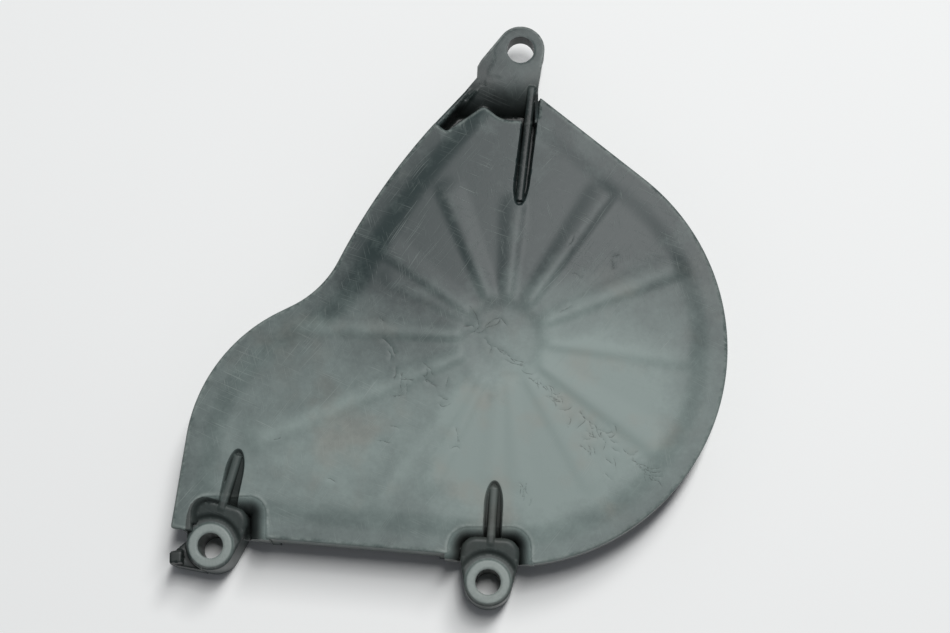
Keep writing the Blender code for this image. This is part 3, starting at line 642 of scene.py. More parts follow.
    def arm_height(self, points):
        """The hook: a low arm beside the tail's lug, with a block that stands up at its end."""
        arm = depth_in(self.arm, points)
        (x0, x1), (y0, y1) = HOOK_BLOCK_X, HOOK_BLOCK_Y
        block = np.minimum.reduce((points[:, 0] - x0, x1 - points[:, 0], points[:, 1] - y0, y1 - points[:, 1]))
        top = HOOK_ARM_Z - lip(arm, 0.5)
        high = HOOK_BLOCK_Z - lip(block, 0.45)
        beside = apron(-block, HOOK_BLOCK_Z - 0.4, HOOK_ARM_Z - 0.6, 0.3, 0.4)
        high = np.where(block >= 0, high, beside)
        return np.where(arm >= -1e-6, np.maximum(top, high), NOWHERE)

    def lug_height(self, lug, plan, points):
        """A lug: the bolt's seat in a flat spot face, on a platform that rises towards the skin."""
        near = away_from(lug["bore"], points)
        out = np.full(len(points), NOWHERE)
        pick = near < LUG_REACH
        local, r = points[pick], near[pick]
        depth = depth_in(plan, local)
        low = SEAT_Z - SEAT_RISE
        along = (local - np.array(lug["bore"])) @ lug_axis(lug)
        top = low + 0.3 + LUG_TILT * along
        top = np.minimum(top, low + (top - low) * smooth((r - SPOTFACE_R + 0.6) / 1.3))
        top = top - lip(depth, np.where(along > 8, 1.6, 0.8))
        seat = SEAT_Z - lip(SEAT_R - r, 0.35) - SEAT_RISE * smooth((r - SEAT_R) / 0.3)
        top = np.where(r < SEAT_R + 0.3, np.maximum(top, seat), top)
        top = top - 0.35 * smooth((BORE_R + 0.4 - r) / 0.4)
        edge_top = low + 0.3 + LUG_TILT * along - 1.0
        z = np.where(depth >= 0, top, apron(-depth, edge_top, BAY_FLOOR_Z, *LUG_FOOT))
        out[pick] = np.where(-depth < sum(LUG_FOOT), z, BAY_FLOOR_Z)
        return out

    def gusset_height(self, lug, points):
        """Thin rib along the lug's axis, from its top into the groove."""
        local = points - np.array(lug["bore"])
        axis = lug_axis(lug)
        along, off = local @ axis, np.abs(local @ sideways(axis))
        first, last = LUG_LENGTH - 3.4, LUG_GROOVE[1] - 1.7
        start = SEAT_Z - SEAT_RISE + 0.2 + LUG_TILT * LUG_LENGTH
        z = start + (self.s.rim - 0.7 - start) * (along - first) / (last - first)
        z = z - lip(GUSSET_HALF - off, GUSSET_LIP)
        z = z - 9 * np.clip((off - GUSSET_HALF) / GUSSET_FOOT, 0, 1)
        z = z - 6 * smooth((first + 1.2 - along) / 2.4) - 6 * smooth((along - last) / 1.2)
        held = (off < GUSSET_HALF + GUSSET_FOOT) & (along > first - 1.5) & (along < last + 1.2)
        return np.where(held, z, NOWHERE)

    def ear_height(self, points):
        """The ear with its pocket, the rib along the flank, the long gusset and the filled corner beside it."""
        out = np.full(len(points), NOWHERE)
        left, low, right = EAR_REACH
        pick = (points[:, 1] > low) & (points[:, 0] > left) & (points[:, 0] < right)
        local = points[pick]
        high = EAR_Z[1]
        depth = depth_in(self.ear, local)
        rolled = self.roll(local)
        # the rounding of the ear's outer edge dies out where its end is open to the pocket
        outer = depth + 9 * smooth((EAR_SHOULDER_Y + 3 - local[:, 1]) / 3) * (local[:, 0] > -6.0)
        side = EAR_LIP[0] + EAR_LIP[1] * smooth((3.0 - local[:, 0]) / 6) * smooth((103 - local[:, 1]) / 8)
        top = rolled - lip(outer, side)
        r = away_from(EAR_BORE, local)
        top = top - 0.4 * smooth((EAR_BORE_R + 0.45 - r) / 0.45)
        z = np.where(depth >= 0, top, rolled)

        start, down, inward, length = flank_frame()
        s, off = (local - start) @ down, (local - start) @ inward
        ridge = high - 1.6 + (self.s.rim - high + 1.1) * np.clip(s / length, -0.2, 1)
        wall = ridge - lip(off, FLANK_LIP) - lip(FLANK_RIB - off, FLANK_LIP)
        fall = apron(off - FLANK_RIB, ridge - 0.7, np.minimum(rolled, ridge - 1.0), 1.2, 1.4)
        wall = np.where(off > FLANK_RIB, fall, wall)
        wall = wall - 8 * smooth((s - length + 0.4) / 1.6) - 8 * smooth((-s - 0.8) / 1.5)
        z = smooth_max(z, np.where((off > -0.4) & (s > -2.5) & (s < length + 1.2), wall, NOWHERE), 0.4)

        begin, tip = (np.array(p) for p in EAR_GUSSET)
        run = np.linalg.norm(tip - begin)
        axis = (tip - begin) / run
        along, off = (local - begin) @ axis, np.abs((local - begin) @ sideways(axis))
        rib = high - 0.1 + (self.s.rim + 0.3 - high) * np.clip(along / (run - 1.8), -0.1, 1)
        rib = rib - lip(GUSSET_HALF - off, GUSSET_LIP)
        rib = rib - 11 * np.clip((off - GUSSET_HALF) / GUSSET_FOOT, 0, 1)
        rib = rib - 6 * smooth((-along + 0.4) / 3.5) - 6 * smooth((along - run + 1.8) / 1.2)
        held = (off < GUSSET_HALF + GUSSET_FOOT) & (along > -3) & (along < run)
        z = smooth_max(z, np.where(held, rib, NOWHERE), 0.25)

        # the narrow space between the gusset and the skin's corner is filled
        fill = high - 1.2 + (self.s.rim - high) * np.clip((86 - local[:, 1]) / 11, 0, 1)
        fill = fill - 5 * np.clip((10.6 - local[:, 0]) / 0.8, 0, 1)
        filled = (local[:, 0] > 9.8) & (local[:, 1] > 74) & (local[:, 1] < 88)
        out[pick] = smooth_max(z, np.where(filled, fill, NOWHERE), 0.4)
        return out

    def roll(self, points):
        """The ear's flat top, rolling over into the pocket towards the skin's rim."""
        begin, run = EAR_ROLL
        t = np.clip((begin - points[:, 1]) / run, 0, 0.995)
        rolled = EAR_POCKET_Z + (EAR_Z[1] - EAR_POCKET_Z) * np.sqrt(1 - t * t)
        return np.where(points[:, 1] > EAR_FROM_Y, rolled, NOWHERE)


def boundary(faces):
    """Directed edges that belong to one triangle only."""
    seen = {}
    for a, b, c in faces:
        for edge in ((a, b), (b, c), (c, a)):
            key = min(edge), max(edge)
            seen[key] = None if key in seen else edge
    return [edge for edge in seen.values() if edge]


def sides_of(face):
    """The three sides of a triangle, each as its lower and its higher point number."""
    a, b, c = (int(i) for i in face)
    return [(min(p, q), max(p, q)) for p, q in ((a, b), (b, c), (c, a))]


def rings_of(edges):
    """Closed rings of point numbers from directed edges."""
    after, rings = {}, []
    for a, b in edges:
        after.setdefault(int(a), []).append(int(b))
    while after:
        here, ring = next(iter(after)), []
        while here in after:
            ring.append(here)
            there = after[here].pop()
            if not after[here]:
                del after[here]
            here = there
        rings.append(ring)
    return rings


class Plan:
    """Points and edges of a flat layout, triangulated within some outlines and without some holes."""

    def __init__(self, fields, holes=(), rings=()):
        self.fields, self.holes, self.points, self.edges = fields, holes, [], []
        for path in (*rings, *fields, *holes):
            self.line(path, True)

    def line(self, path, closed=False):
        first, count = len(self.points), len(path)
        self.points += [tuple(map(float, p)) for p in path]
        self.edges += [(first + i, first + (i + 1) % count) for i in range(count if closed else count - 1)]

    def loose(self, points):
        """Points without edges, where the plan covers them."""
        points = points[self.covers(points)]
        self.points += [tuple(map(float, p)) for p in points]

    def scratch(self, path):
        """A narrow scratch: its middle and both of its edges."""
        along = np.gradient(path, axis=0)
        across = np.c_[-along[:, 1], along[:, 0]] / np.linalg.norm(along, axis=1)[:, None]
        for side in (-SCRATCH_HALF, 0, SCRATCH_HALF):
            track = path + across * side
            if depth_in(self.fields[0], track).min() > 4:
                self.line(track)

    def covers(self, points):
        keep = np.zeros(len(points), bool)
        for path in self.fields:
            keep |= inside(path, points)
        for path in self.holes:
            keep &= ~inside(path, points)
        return keep

    def scatter(self, spacing, clear, zone=None):
        """Fills the plan, or one box (x0, y0, x1, y1) of it, with evenly spaced points."""
        low, high = np.vstack(self.fields).min(0), np.vstack(self.fields).max(0)
        if zone:
            low, high = np.maximum(low, zone[:2]), np.minimum(high, zone[2:])
        rows = []
        for j in range(int((high[1] - low[1]) / (spacing * 0.866)) + 1):
            x = np.arange(low[0] + (j % 2) * spacing / 2, high[0], spacing)
            rows.append(np.c_[x, np.full(len(x), low[1] + j * spacing * 0.866)])
        points = np.vstack(rows)
        points = points[self.covers(points)]
        tree = KDTree(len(self.points))
        for i, (x, y) in enumerate(self.points):
            tree.insert((x, y, 0), i)
        tree.balance()
        keep = [tree.find((x, y, 0))[2] > clear for x, y in points]
        self.points += [tuple(map(float, p)) for p in points[keep]]

    def triangles(self):
        """Points and anticlockwise triangles."""
        points, _, faces, *_ = delaunay_2d_cdt(self.points, self.edges, [], 0, 0.002)
        points, faces = np.array([tuple(p) for p in points]), np.array(faces)
        faces = faces[self.covers(points[faces].mean(1))]
        a, b, c = (points[faces[:, i]] for i in range(3))
        turn = (b - a)[:, 0] * (c - a)[:, 1] - (b - a)[:, 1] * (c - a)[:, 0]
        faces[turn < 0] = faces[turn < 0][:, ::-1]
        return points, faces[~self.stray(points, faces, np.abs(turn))]

    @staticmethod
    def stray(points, faces, turn):
        """Flat slivers whose long side touches no other triangle."""
        out = np.zeros(len(faces), bool)
        shared = {edge for face in faces[turn > 1e-5] for edge in sides_of(face)}
        for i in np.flatnonzero(turn <= 1e-5):
            long = max(sides_of(faces[i]), key=lambda edge: np.linalg.norm(points[edge[0]] - points[edge[1]]))
            out[i] = long not in shared
        return out


class Underside:
    """The side towards the engine: feet, the hollow's ceiling and the stretches that are open below."""

    def __init__(self, surf):
        s = surf.s
        self.surf, self.hollow = surf, offset(surf.skin, s.wall)[::2]
        self.arm = np.array(HOOK_ARM)
        self.cores = []
        for lug in LUGS.values():
            axis = lug_axis(lug)
            across = sideways(axis)
            # a solid column carries the seat, and the space behind it is open below
            x, near, far = LUG_HALF - s.wall, SEAT_R + 1.6, LUG_LENGTH - s.wall
            corners = ((x, near), (x, far), (-x, far), (-x, near))
            self.cores.append(np.array([np.array(lug["bore"]) + across * a + axis * b for a, b in corners]))
        left, right = FOOT_GAP_X
        angles = np.linspace(*ROUND_GAP, 40)
        band = [on_circle(ROUND_CENTRE, ROUND_R + 8, a) for a in angles]
        band += [on_circle(ROUND_CENTRE, ROUND_R - s.wall - 3, a) for a in angles[::-1]]
        self.cuts = (
            (np.array(CHAIN_EXIT), s.rim - s.wall - 0.7),
            (np.c_[(left, right, right, left), np.repeat(FOOT_GAP_Y, 2)], FOOT_GAP_Z),
            (np.array(band), ROUND_GAP_Z),
        )
        self.tray_z, self.ear_z = BAY_FLOOR_Z - s.wall, EAR_Z[0]

    def lay(self, plan):
        """Draws the borders between the underside's stretches into a plan."""
        for path in (self.hollow, self.arm, *self.cores, *(path for path, _ in self.cuts)):
            plan.line(path, True)
        for groove in self.surf.grooves:
            for outside in (2.5, 1.3):
                plan.line(groove.outline(outside, 2.0))

    def ceiling(self, points):
        """Height of the hollow's ceiling, which follows the skin and its grooves."""
        heights = self.surf.relief(points) - self.surf.s.wall
        for groove in self.surf.grooves:
            out, share = groove.edge(points)
            heights -= groove_drop(share) * smooth(0.5 - (out - 1.9) / 1.2)
        return heights

    def levels(self, middles):
        """One height for each stretch of the underside, with -1 for the hollow's ceiling."""
        level = np.zeros(len(middles))
        skin, hollow = inside(self.surf.skin, middles), inside(self.hollow, middles)
        level[~skin & (middles[:, 1] > EAR_SIDE_Y)] = self.ear_z
        level[~skin & (middles[:, 1] < -40)] = self.tray_z
        for path, height in self.cuts:
            held = inside(path, middles)
            level[held] = np.maximum(level[held], height)
        for plan, core in zip(self.surf.lugs.values(), self.cores):
            level[inside(plan, middles)] = 0
            level[inside(core, middles)] = self.tray_z - 0.6
        level[inside(self.arm, middles) & ~hollow] = 0
        level[hollow] = -1
        return level


def detail_lines(surf):
    """Lines and rings that the upper surface needs for its lips, grooves, gussets and seats."""
    lines = [(offset(surf.skin, gap), True) for gap in (0.12, 0.4, 0.8, 1.3)]
    rings = [offset(surf.skin, gap) for gap in (2.0, 2.8, -0.3, -0.6, -0.9, -1.3, -1.9, -2.7)]
    for groove in surf.grooves:
        lines += [(groove.outline(outside), False) for outside in (0.75, 0.5, 0.25, 0, -0.25, -0.5, -0.8)]
    ribs = []
    for name, lug in LUGS.items():
        rings += [offset(surf.lugs[name], gap) for gap in (0.15, 0.4, 0.8, 1.3, -0.2, -0.4, -0.8, -1.3, -1.8)]
        seat = [circle(lug["bore"], r, 0.5) for r in (4.35, 4.6, 6.75, 7.0, SEAT_R, 7.3, 7.45, 9.2, 9.6, 10.0, 10.5)]
        rings += [ring[inside(surf.lugs[name], ring)] for ring in seat]
        ribs.append((np.array(lug["bore"]), lug_axis(lug), np.arange(10.5, LUG_GROOVE[1] - 1, 0.5)))
    rings += [offset(surf.ear, gap) for gap in (0.15, 0.4, 0.8, 1.2, -0.2, -0.4, -0.9, -1.6, -2.4)]
    rings += [circle(EAR_BORE, radius, 0.5) for radius in (4.8, 5.05)]
    begin, tip = (np.array(p) for p in EAR_GUSSET)
    run = np.linalg.norm(tip - begin)
    ribs.append((begin, (tip - begin) / run, np.arange(-2.5, run, 0.6)))
    for begin, axis, steps in ribs:
        across = sideways(axis)
        for off in (GUSSET_HALF - 0.75, GUSSET_HALF - 0.3, GUSSET_HALF, GUSSET_HALF + 0.17, GUSSET_HALF + 0.36):
            for side in (-off, off):
                lines.append((np.array([begin + axis * a + across * side for a in steps]), False))
    start, down, inward, length = flank_frame()
    for off in (0.25, 0.6, 1.0, 1.8, 2.1, FLANK_RIB, 2.9, 3.4, 3.9, 4.6):
        rings.append(np.array([start + down * a + inward * off for a in np.arange(0.3, length + 1, 0.6)]))
    rings += [offset(surf.arm, gap) for gap in (0.15, 0.35, 0.6)]
    return lines, rings


def build_body(surf):
    """The moulding as one closed mesh: upper surface, underside and the upright walls between their levels."""
    under = Underside(surf)
    bores = [circle(lug["bore"], BORE_R, 0.6) for lug in LUGS.values()] + [circle(EAR_BORE, EAR_BORE_R, 0.6)]
    fields = [surf.skin, *surf.lugs.values(), *surf.trays.values(), surf.ear, surf.pocket, surf.flank, surf.arm]
    lines, rings = detail_lines(surf)
    draft = Plan(fields, bores)
    for path, closed in lines:
        draft.line(path, closed)
    under.lay(draft)
    points, faces = draft.triangles()
    outline = [points[ring] for ring in rings_of(boundary(faces))]

    top = Plan(fields, bores, outline)
    for path, closed in lines:
        top.line(path, closed)
    for path in surf.strokes:
        top.scratch(path)
    for path in rings:
        top.loose(path)
    for zone in FINE_ZONES:
        top.scatter(FINE, FINE * 0.62, zone)
    top.scatter(COARSE, COARSE * 0.75)
    high, upper = top.triangles()

    low = Plan(fields, bores, outline)
    under.lay(low)
    low.scatter(3.5, 2.4)
    flat, lower = low.triangles()

    bm = bmesh.new()
    layers = [bm.verts.layers.float.new(name) for name in LAYERS]
    crown = [bm.verts.new((x, y, z)) for (x, y), z in zip(high, surf.height(high))]
    for layer, values in zip(layers, surf.wear(high)):
        for vert, value in zip(crown, values):
            vert[layer] = value
    for a, b, c in upper:
        bm.faces.new((crown[a], crown[b], crown[c]))

    level = under.levels(flat[lower].mean(1))
    ceiling = under.ceiling(flat)
    columns, made = {}, {}
    at = lambda i, z: round(float(ceiling[i] if z < 0 else z), 4)
    for face, z in zip(lower, level):
        for i in face:
            columns.setdefault(int(i), set()).add(at(i, z))
    tree = KDTree(len(crown))
    for i, vert in enumerate(crown):
        tree.insert((vert.co.x, vert.co.y, 0), i)
    tree.balance()
    edges = boundary(lower)
    tops = {}
    for i in {int(i) for edge in edges for i in edge}:
        _, j, gap = tree.find((flat[i][0], flat[i][1], 0))
        if gap > 0.01:
            raise RuntimeError(f"The underside's edge leaves the upper surface's near {flat[i]}")
        tops[i] = crown[j]

    def vert(i, z):
        if (i, z) not in made:
            made[i, z] = bm.verts.new((flat[i][0], flat[i][1], z))
        return made[i, z]

    def rise(i, z, end):
        """Vertices up one corner of a wall, from z to the height end or to the upper surface."""
        between = sorted(level for level in columns[i] if z <= level and (end is None or level <= end))
        return [vert(i, level) for level in between] + ([tops[i]] if end is None else [])

    beside = {}
    for face, z in zip(lower, level):
        a, b, c = (int(i) for i in face)
        bm.faces.new((vert(c, at(c, z)), vert(b, at(b, z)), vert(a, at(a, z))))
        for edge in ((a, b), (b, c), (c, a)):
            beside.setdefault((min(edge), max(edge)), []).append(z)
    for (a, b), both in beside.items():
        if len(both) == 1:
            ring = rise(a, at(a, both[0]), None) + rise(b, at(b, both[0]), None)[::-1]
        elif abs(at(a, both[0]) - at(a, both[1])) < 1e-4 and abs(at(b, both[0]) - at(b, both[1])) < 1e-4:
            continue
        else:
            first, second = sorted(both, key=lambda z: at(a, z) + at(b, z))
            ring = rise(a, at(a, first), at(a, second)) + rise(b, at(b, first), at(b, second))[::-1]
        bm.faces.new(ring)
    for loose in [v for v in bm.verts if not v.link_faces]:
        bm.verts.remove(loose)
    return to_object(bm, "sprocket_cover_moulding")


def to_object(bm, name):
    """Mesh object in metres about the object's origin, within the plain solid's box."""
    x, y = place()
    low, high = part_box("sprocket_cover")
    bmesh.ops.remove_doubles(bm, verts=bm.verts, dist=WELD)
    # a wall that was thinner than that leaves a flap, which hangs on one edge
    flaps = [face for face in bm.faces if sum(len(edge.link_faces) == 1 for edge in face.edges) > 2]
    bmesh.ops.delete(bm, geom=flaps, context="FACES")
    bmesh.ops.recalc_face_normals(bm, faces=bm.faces)
    for vert in bm.verts:
        moved = (vert.co.x + x, vert.co.y + y, vert.co.z)
        vert.co = [min(max(value * MM, a), b) for value, a, b in zip(moved, low, high)]
    mesh = bpy.data.meshes.new(name)
    bm.to_mesh(mesh)
    bm.free()
    obj = bpy.data.objects.new(name, mesh)
    bpy.context.scene.collection.objects.link(obj)
    return obj


def build_cover(shape):
    """The cover as an object, shaded smooth between its hard edges."""
    sizes = SimpleNamespace(**{key: getattr(shape, key) / MM for key in shape.__annotations__})
    cover = build_body(Surface(sizes))
    mesh = cover.data
    mesh.shade_smooth()
    mesh.set_sharp_from_angle(angle=math.radians(HARD_EDGE))
    # an upright wall is shaded apart from the lip above it
    upright = [abs(face.normal.z) < UPRIGHT for face in mesh.polygons]
    beside = {}
    for face in mesh.polygons:
        for edge in face.edge_keys:
            beside.setdefault(edge, []).append(upright[face.index])
    for edge in mesh.edges:
        if len(set(beside[edge.key])) == 2:
            edge.use_edge_sharp = True
    return cover


def linear(code):
    """Linear colour of an sRGB hex code."""
    values = [int(code[i:i + 2], 16) / 255 for i in (1, 3, 5)]
    return tuple(v / 12.92 if v <= 0.04045 else ((v + 0.055) / 1.055) ** 2.4 for v in values)


def paint(name, code, description):
    """A colour that a user can change."""
    return FloatVectorProperty(
        name=name, description=description, default=linear(code), size=3, min=0, max=1, subtype="COLOR"
    )


class CoverFinish(bpy.types.PropertyGroup):
    """Colours and gloss of the used moulding."""

    body: paint("Nylon", "#303b3b", "Black nylon, greyed by use")
    # the tint of the dull film, which also carries the painted sheen
    haze_sheen_tint: paint("Haze", "#8b9995", "Dull film of fine wear and dried dirt")
    oil: paint("Dried oil", "#918f86", "Brownish film where oil has dried")
    bare: paint("Rubbed", "#959e9a", "Scuffs where the filler shows through")
    # the dark of the scratches, and of the painted shade in recesses, grooves and corners
    soot_and_shade: paint("Soot", "#121413", "Oily dirt in scratches and corners")
    gloss: FloatProperty(
        name="Roughness", description="Roughness of the cleaner skin", default=0.42, min=0.05, max=1, subtype="FACTOR"
    )


class StudioLook(bpy.types.PropertyGroup):
    """Floor, lights and lens."""

    floor: paint("Floor", "#f3f4f3", "Colour of the table")
    window: FloatProperty(
        name="Window", description="Power of the soft light beyond the table", default=26.0, min=0, unit="POWER"
    )
    lamp: FloatProperty(
        name="Lamp", description="Power of the long light overhead", default=22.0, min=0, unit="POWER"
    )
    sky: FloatProperty(name="Sky", description="Strength of the even light from all round", default=0.14, min=0)
    lens: FloatProperty(name="Lens", description="Focal length", default=92.842, min=10, subtype="DISTANCE_CAMERA")


def node(tree, kind, inputs=(), **settings):
    """Adds a node with its settings, values and links, and gives it back."""
    made = tree.nodes.new(kind)
    for key, value in settings.items():
        setattr(made, key, value)
    for key, value in dict(inputs).items():
        if isinstance(value, bpy.types.NodeSocket):
            tree.links.new(value, made.inputs[key])
        else:
            made.inputs[key].default_value = value
    return made


# Light scratches: turn in degrees, width and length, how few there are, and where their pattern begins
HAIRLINES = ((24, 0.26, 14.0, 0.655, 3.0), (-52, 0.3, 22.0, 0.66, 41.0), (78, 0.24, 9.0, 0.665, 77.0))


def moulded_nylon(look):
    """Glass-filled nylon, injection moulded and used.

    The eye sees a black skin that oil and dust have turned grey-green, a satin sheen that breaks up in
    patches, rubbed light edges, hair-fine light scratches that run every way and a few dark gouges. The sheen's broad
    patches are painted sheen, the light edges are partly a painted highlight, and the dark in the recesses is painted
    shade.
    """
    material = bpy.data.materials.new("moulded_glass_filled_nylon")
    material.use_nodes = True
    tree = material.node_tree
    shader = tree.nodes["Principled BSDF"]
    add = lambda kind, inputs=(), **settings: node(tree, kind, inputs, **settings)
    calc = lambda operation, *values: add(
        "ShaderNodeMath", dict(enumerate(values)), operation=operation, use_clamp=operation == "ADD"
    ).outputs[0]
    span = lambda value, low, high, to=1.0: add(
        "ShaderNodeMapRange", {"Value": value, "From Min": low, "From Max": high, "To Max": to},
        interpolation_type="SMOOTHSTEP",
    ).outputs["Result"]
    blend = lambda factor, a, b: add(
        "ShaderNodeMix", {0: factor, 6: a, 7: b}, data_type="RGBA"
    ).outputs[2]
    colour = lambda value: (*value, 1)

    # positions in millimetres
    metres = add("ShaderNodeTexCoord").outputs["Object"]
    mm = add("ShaderNodeVectorMath", {0: metres, "Scale": 1 / MM}, operation="SCALE").outputs[0]
    noise = lambda size, detail=3.0, rough=0.55, at=mm, warp=0.0: add(
        "ShaderNodeTexNoise",
        {"Vector": at, "Scale": 1 / size, "Detail": detail, "Roughness": rough, "Distortion": warp},
    ).outputs["Fac"]

    # broad clouds of haze 45 mm across, and blotches of 9 mm in them
    clouds = span(noise(45.0, 4.0, 0.6, warp=0.4), 0.32, 0.68)
    blotches = span(noise(9.0, 5.0, 0.62), 0.35, 0.7)
    crest, rub_and_glint, mark, painted_shade, bare, patches = (
        add("ShaderNodeAttribute", attribute_name=name).outputs["Fac"] for name in LAYERS
    )
    sheen_film = calc("ADD", calc("MULTIPLY", clouds, 0.2), calc("MULTIPLY", blotches, 0.13))
    sheen_film = calc("ADD", sheen_film, calc("MULTIPLY", crest, 0.17))
    # painted sheen and shade: broad patches lighter low down on the skin and darker towards the top
    sheen_film = calc("ADD", sheen_film, patches)
    # and a fine mottle of 1.6 mm, where the film has been wiped off the grain
    sheen_film = calc("SUBTRACT", calc("ADD", sheen_film, calc("MULTIPLY", noise(1.6, 5.0, 0.7), 0.26)), 0.17)
    # the film is brownish with dried oil in places about 25 mm across
    oily = calc("MULTIPLY", span(noise(25.0, 3.0, 0.6), 0.5, 0.72), 0.55)
    base = blend(sheen_film, colour(look.body), blend(oily, colour(look.haze_sheen_tint), colour(look.oil)))

    # fine scratches in three directions, about 0.25 mm wide, which is wider than real hairlines so that they show
    total = None
    for turn, across, along, low, seed in HAIRLINES:
        bent = add("ShaderNodeTexNoise", {"Vector": mm, "Scale": 1 / 30.0, "Detail": 1.0}).outputs["Color"]
        swayed = add("ShaderNodeVectorMath", {0: bent, 1: (5.0, 5.0, 0.0), 2: mm}, operation="MULTIPLY_ADD").outputs[0]
        turned = add(
            "ShaderNodeMapping", {"Vector": swayed, "Location": (seed, seed, 0), "Rotation": (0, 0, math.radians(turn))}
        ).outputs[0]
        stretched = add(
            "ShaderNodeMapping", {"Vector": turned, "Scale": (1 / along, 1 / across, 1 / along)}
        ).outputs[0]
        streak = span(noise(1.0, 1.0, 0.4, at=stretched), low, low + 0.05)
        here = span(noise(17.0, 2.0, at=turned), 0.4, 0.62)
        streak = calc("MULTIPLY", streak, here)
        total = streak if total is None else calc("MAXIMUM", total, streak)
    # the light line along the edges: partly rubbed wear, partly a painted highlight on the rounded lip
    rubbed = calc("MULTIPLY", rub_and_glint, span(noise(2.4, 4.0, 0.7), 0.3, 0.62))
    light = calc("ADD", calc("MULTIPLY", total, 0.32), calc("MULTIPLY", rubbed, 0.5))
    base = blend(light, base, colour(look.bare))

    # a few light specks of about 0.5 mm, one in each patch of 14 mm
    speck = add("ShaderNodeTexVoronoi", {"Vector": mm, "Scale": 1 / 14.0, "Randomness": 1.0}, feature="F1")
    speck = calc("LESS_THAN", speck.outputs["Distance"], 0.018)
    base = blend(calc("MULTIPLY", speck, 0.75), base, colour(look.bare))
    # the dark scratches break up every millimetre or so
    broken = calc("MULTIPLY", mark, span(noise(0.9, 2.0), 0.36, 0.6, 0.62))
    base = blend(broken, base, colour(look.soot_and_shade))
    # painted shade: recesses, grooves, bays, the lugs' platforms and the ear's pocket darkened towards the soot colour
    base = blend(calc("MULTIPLY", painted_shade, 0.92), base, colour(look.soot_and_shade))
    # bolt heads have left the seats bare, with the dirt in a fine turned pattern
    turned_seat = calc("ADD", calc("MULTIPLY", noise(0.8, 3.0), 0.35), 0.45)
    base = blend(calc("MULTIPLY", bare, turned_seat), base, colour(look.bare))
    tree.links.new(base, shader.inputs["Base Color"])

    # satin that is duller where the film lies and sharper where it has been rubbed
    rough = calc("ADD", calc("MULTIPLY", sheen_film, 0.1), look.gloss - 0.04)
    rough = calc("ADD", rough, calc("MULTIPLY", light, 0.12))
    tree.links.new(rough, shader.inputs["Roughness"])
    # the filler breaks the skin up, which leaves less of a sheen than on clean nylon
    shader.inputs["IOR"].default_value = 1.53
    shader.inputs["Specular IOR Level"].default_value = 0.2

    # moulding texture of 0.5 mm with low waves of 6 mm, and shallow scratches
    waves = calc("MULTIPLY", noise(6.0, 2.0), 0.035)
    grain = calc("MULTIPLY", noise(0.5, 2.0), 0.012)
    depth = calc("SUBTRACT", calc("ADD", waves, grain), calc("MULTIPLY", calc("MAXIMUM", total, mark), 0.02))
    bump = add("ShaderNodeBump", {"Height": depth, "Distance": MM, "Strength": 0.6})
    tree.links.new(bump.outputs["Normal"], shader.inputs["Normal"])
    return material


class COVER_OT_moulding(bpy.types.Operator):
    """Builds the cover with its worn nylon skin"""

    bl_idname = "cover.moulding"
    bl_label = "Build the cover"

    def execute(self, context):
        cover = build_cover(context.scene.cover_shape)
        cover.data.materials.append(moulded_nylon(context.scene.cover_finish))
        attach(cover, "root")
        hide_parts("sprocket_cover")
        return {"FINISHED"}


# The stage, in metres
TABLE_HALF, TABLE_Z = 3.0, -0.0004  # a hair under the cover's feet, so that no two faces lie in one plane
LIGHT_AIM = (0.0, 0.0, 0.02)
CAMERA_PLACE = (0.012585, -0.14073, 0.82467)
CAMERA_AIM = (-13.0, 423.5, -2450.0)  # direction of the view


def area_light(name, place, aim, width, depth, power, tint):
    """Soft rectangular light that faces a point."""
    light = bpy.data.lights.new(name, "AREA")
    light.shape, light.size, light.size_y, light.energy = "RECTANGLE", width, depth, power
    light.color = linear(tint)
    lamp = bpy.data.objects.new(name, light)
    lamp.location = place
    lamp.rotation_euler = (Vector(aim) - Vector(place)).to_track_quat("-Z", "Y").to_euler()
    bpy.context.scene.collection.objects.link(lamp)


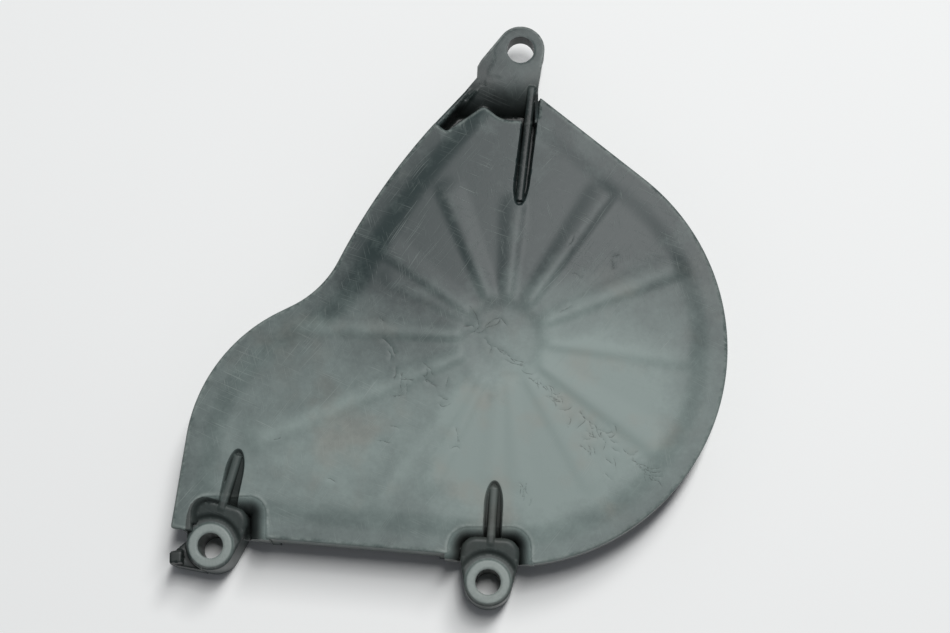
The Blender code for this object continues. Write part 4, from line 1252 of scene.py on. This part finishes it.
class COVER_OT_studio(bpy.types.Operator):
    """Builds the pale table, the soft lights and the camera"""

    bl_idname = "cover.studio"
    bl_label = "Build the studio"

    def execute(self, context):
        scene, look = context.scene, context.scene.cover_studio
        material = bpy.data.materials.new("matt_white_laminate")
        material.use_nodes = True
        tree = material.node_tree
        shader = tree.nodes["Principled BSDF"]
        # matt laminate: even, with faint clouds about 180 mm across that only break up the white
        place = node(tree, "ShaderNodeTexCoord").outputs["Object"]
        cloud = node(tree, "ShaderNodeTexNoise", {"Vector": place, "Scale": 1 / 0.18, "Detail": 2.0}).outputs["Fac"]
        pale, dull = (*look.floor, 1), (*(value * 0.97 for value in look.floor), 1)
        mix = node(tree, "ShaderNodeMix", {0: cloud, 6: dull, 7: pale}, data_type="RGBA")
        tree.links.new(mix.outputs[2], shader.inputs["Base Color"])
        shader.inputs["Roughness"].default_value = 0.6

        bm = bmesh.new()
        bmesh.ops.create_grid(bm, x_segments=8, y_segments=8, size=TABLE_HALF)
        mesh = bpy.data.meshes.new("table")
        bm.to_mesh(mesh)
        bm.free()
        table = bpy.data.objects.new("table", mesh)
        table.location.z = TABLE_Z
        mesh.materials.append(material)
        scene.collection.objects.link(table)

        area_light("window", (0.58, 1.05, 2.2), LIGHT_AIM, 0.5, 1.0, look.window, "#ffffff")
        area_light("lamp", (0.19, 0.36, 2.2), LIGHT_AIM, 0.2, 0.62, look.lamp, "#ffffff")
        world = bpy.data.worlds.new("room")
        world.use_nodes = True
        background = world.node_tree.nodes["Background"]
        background.inputs["Color"].default_value = (*linear("#f4f7ff"), 1)
        background.inputs["Strength"].default_value = look.sky
        scene.world = world

        camera = bpy.data.cameras.new("camera")
        camera.lens, camera.sensor_width = look.lens, 36.0
        camera.clip_start, camera.clip_end = 0.05, 20
        eye = bpy.data.objects.new("camera", camera)
        eye.location = CAMERA_PLACE
        # the table's far edge is up in the picture
        back = -Vector(CAMERA_AIM).normalized()
        right = Vector((0, 1, 0)).cross(back).normalized()
        eye.rotation_euler = Matrix((right, back.cross(right), back)).transposed().to_euler()
        scene.collection.objects.link(eye)
        scene.camera = eye
        scene.view_settings.view_transform = "Standard"
        return {"FINISHED"}


class VIEW3D_PT_cover(bpy.types.Panel):
    """Sizes, colours and build buttons of the cover"""

    bl_label = "Sprocket cover"
    bl_space_type = "VIEW_3D"
    bl_region_type = "UI"
    bl_category = "Cover"

    def draw(self, context):
        for title, operator, group in STEPS:
            box = self.layout.box()
            box.label(text=title)
            settings = [getattr(context.scene, name) for name in group]
            for setting in settings:
                for key in setting.__annotations__:
                    box.prop(setting, key)
            box.operator(operator)


STEPS = (
    ("Cover", "cover.moulding", ("cover_shape", "cover_finish")),
    ("Studio", "cover.studio", ("cover_studio",)),
)
GROUPS = {"cover_shape": CoverShape, "cover_finish": CoverFinish, "cover_studio": StudioLook}
CLASSES = (*GROUPS.values(), COVER_OT_moulding, COVER_OT_studio, VIEW3D_PT_cover)


def register():
    for cls in CLASSES:
        bpy.utils.register_class(cls)
    for name, group in GROUPS.items():
        setattr(bpy.types.Scene, name, PointerProperty(type=group))


def unregister():
    for name in GROUPS:
        delattr(bpy.types.Scene, name)
    for cls in reversed(CLASSES):
        bpy.utils.unregister_class(cls)


def main():
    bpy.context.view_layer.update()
    register()
    bpy.ops.cover.moulding()
    bpy.ops.cover.studio()


if __name__ == "__main__":
    main()
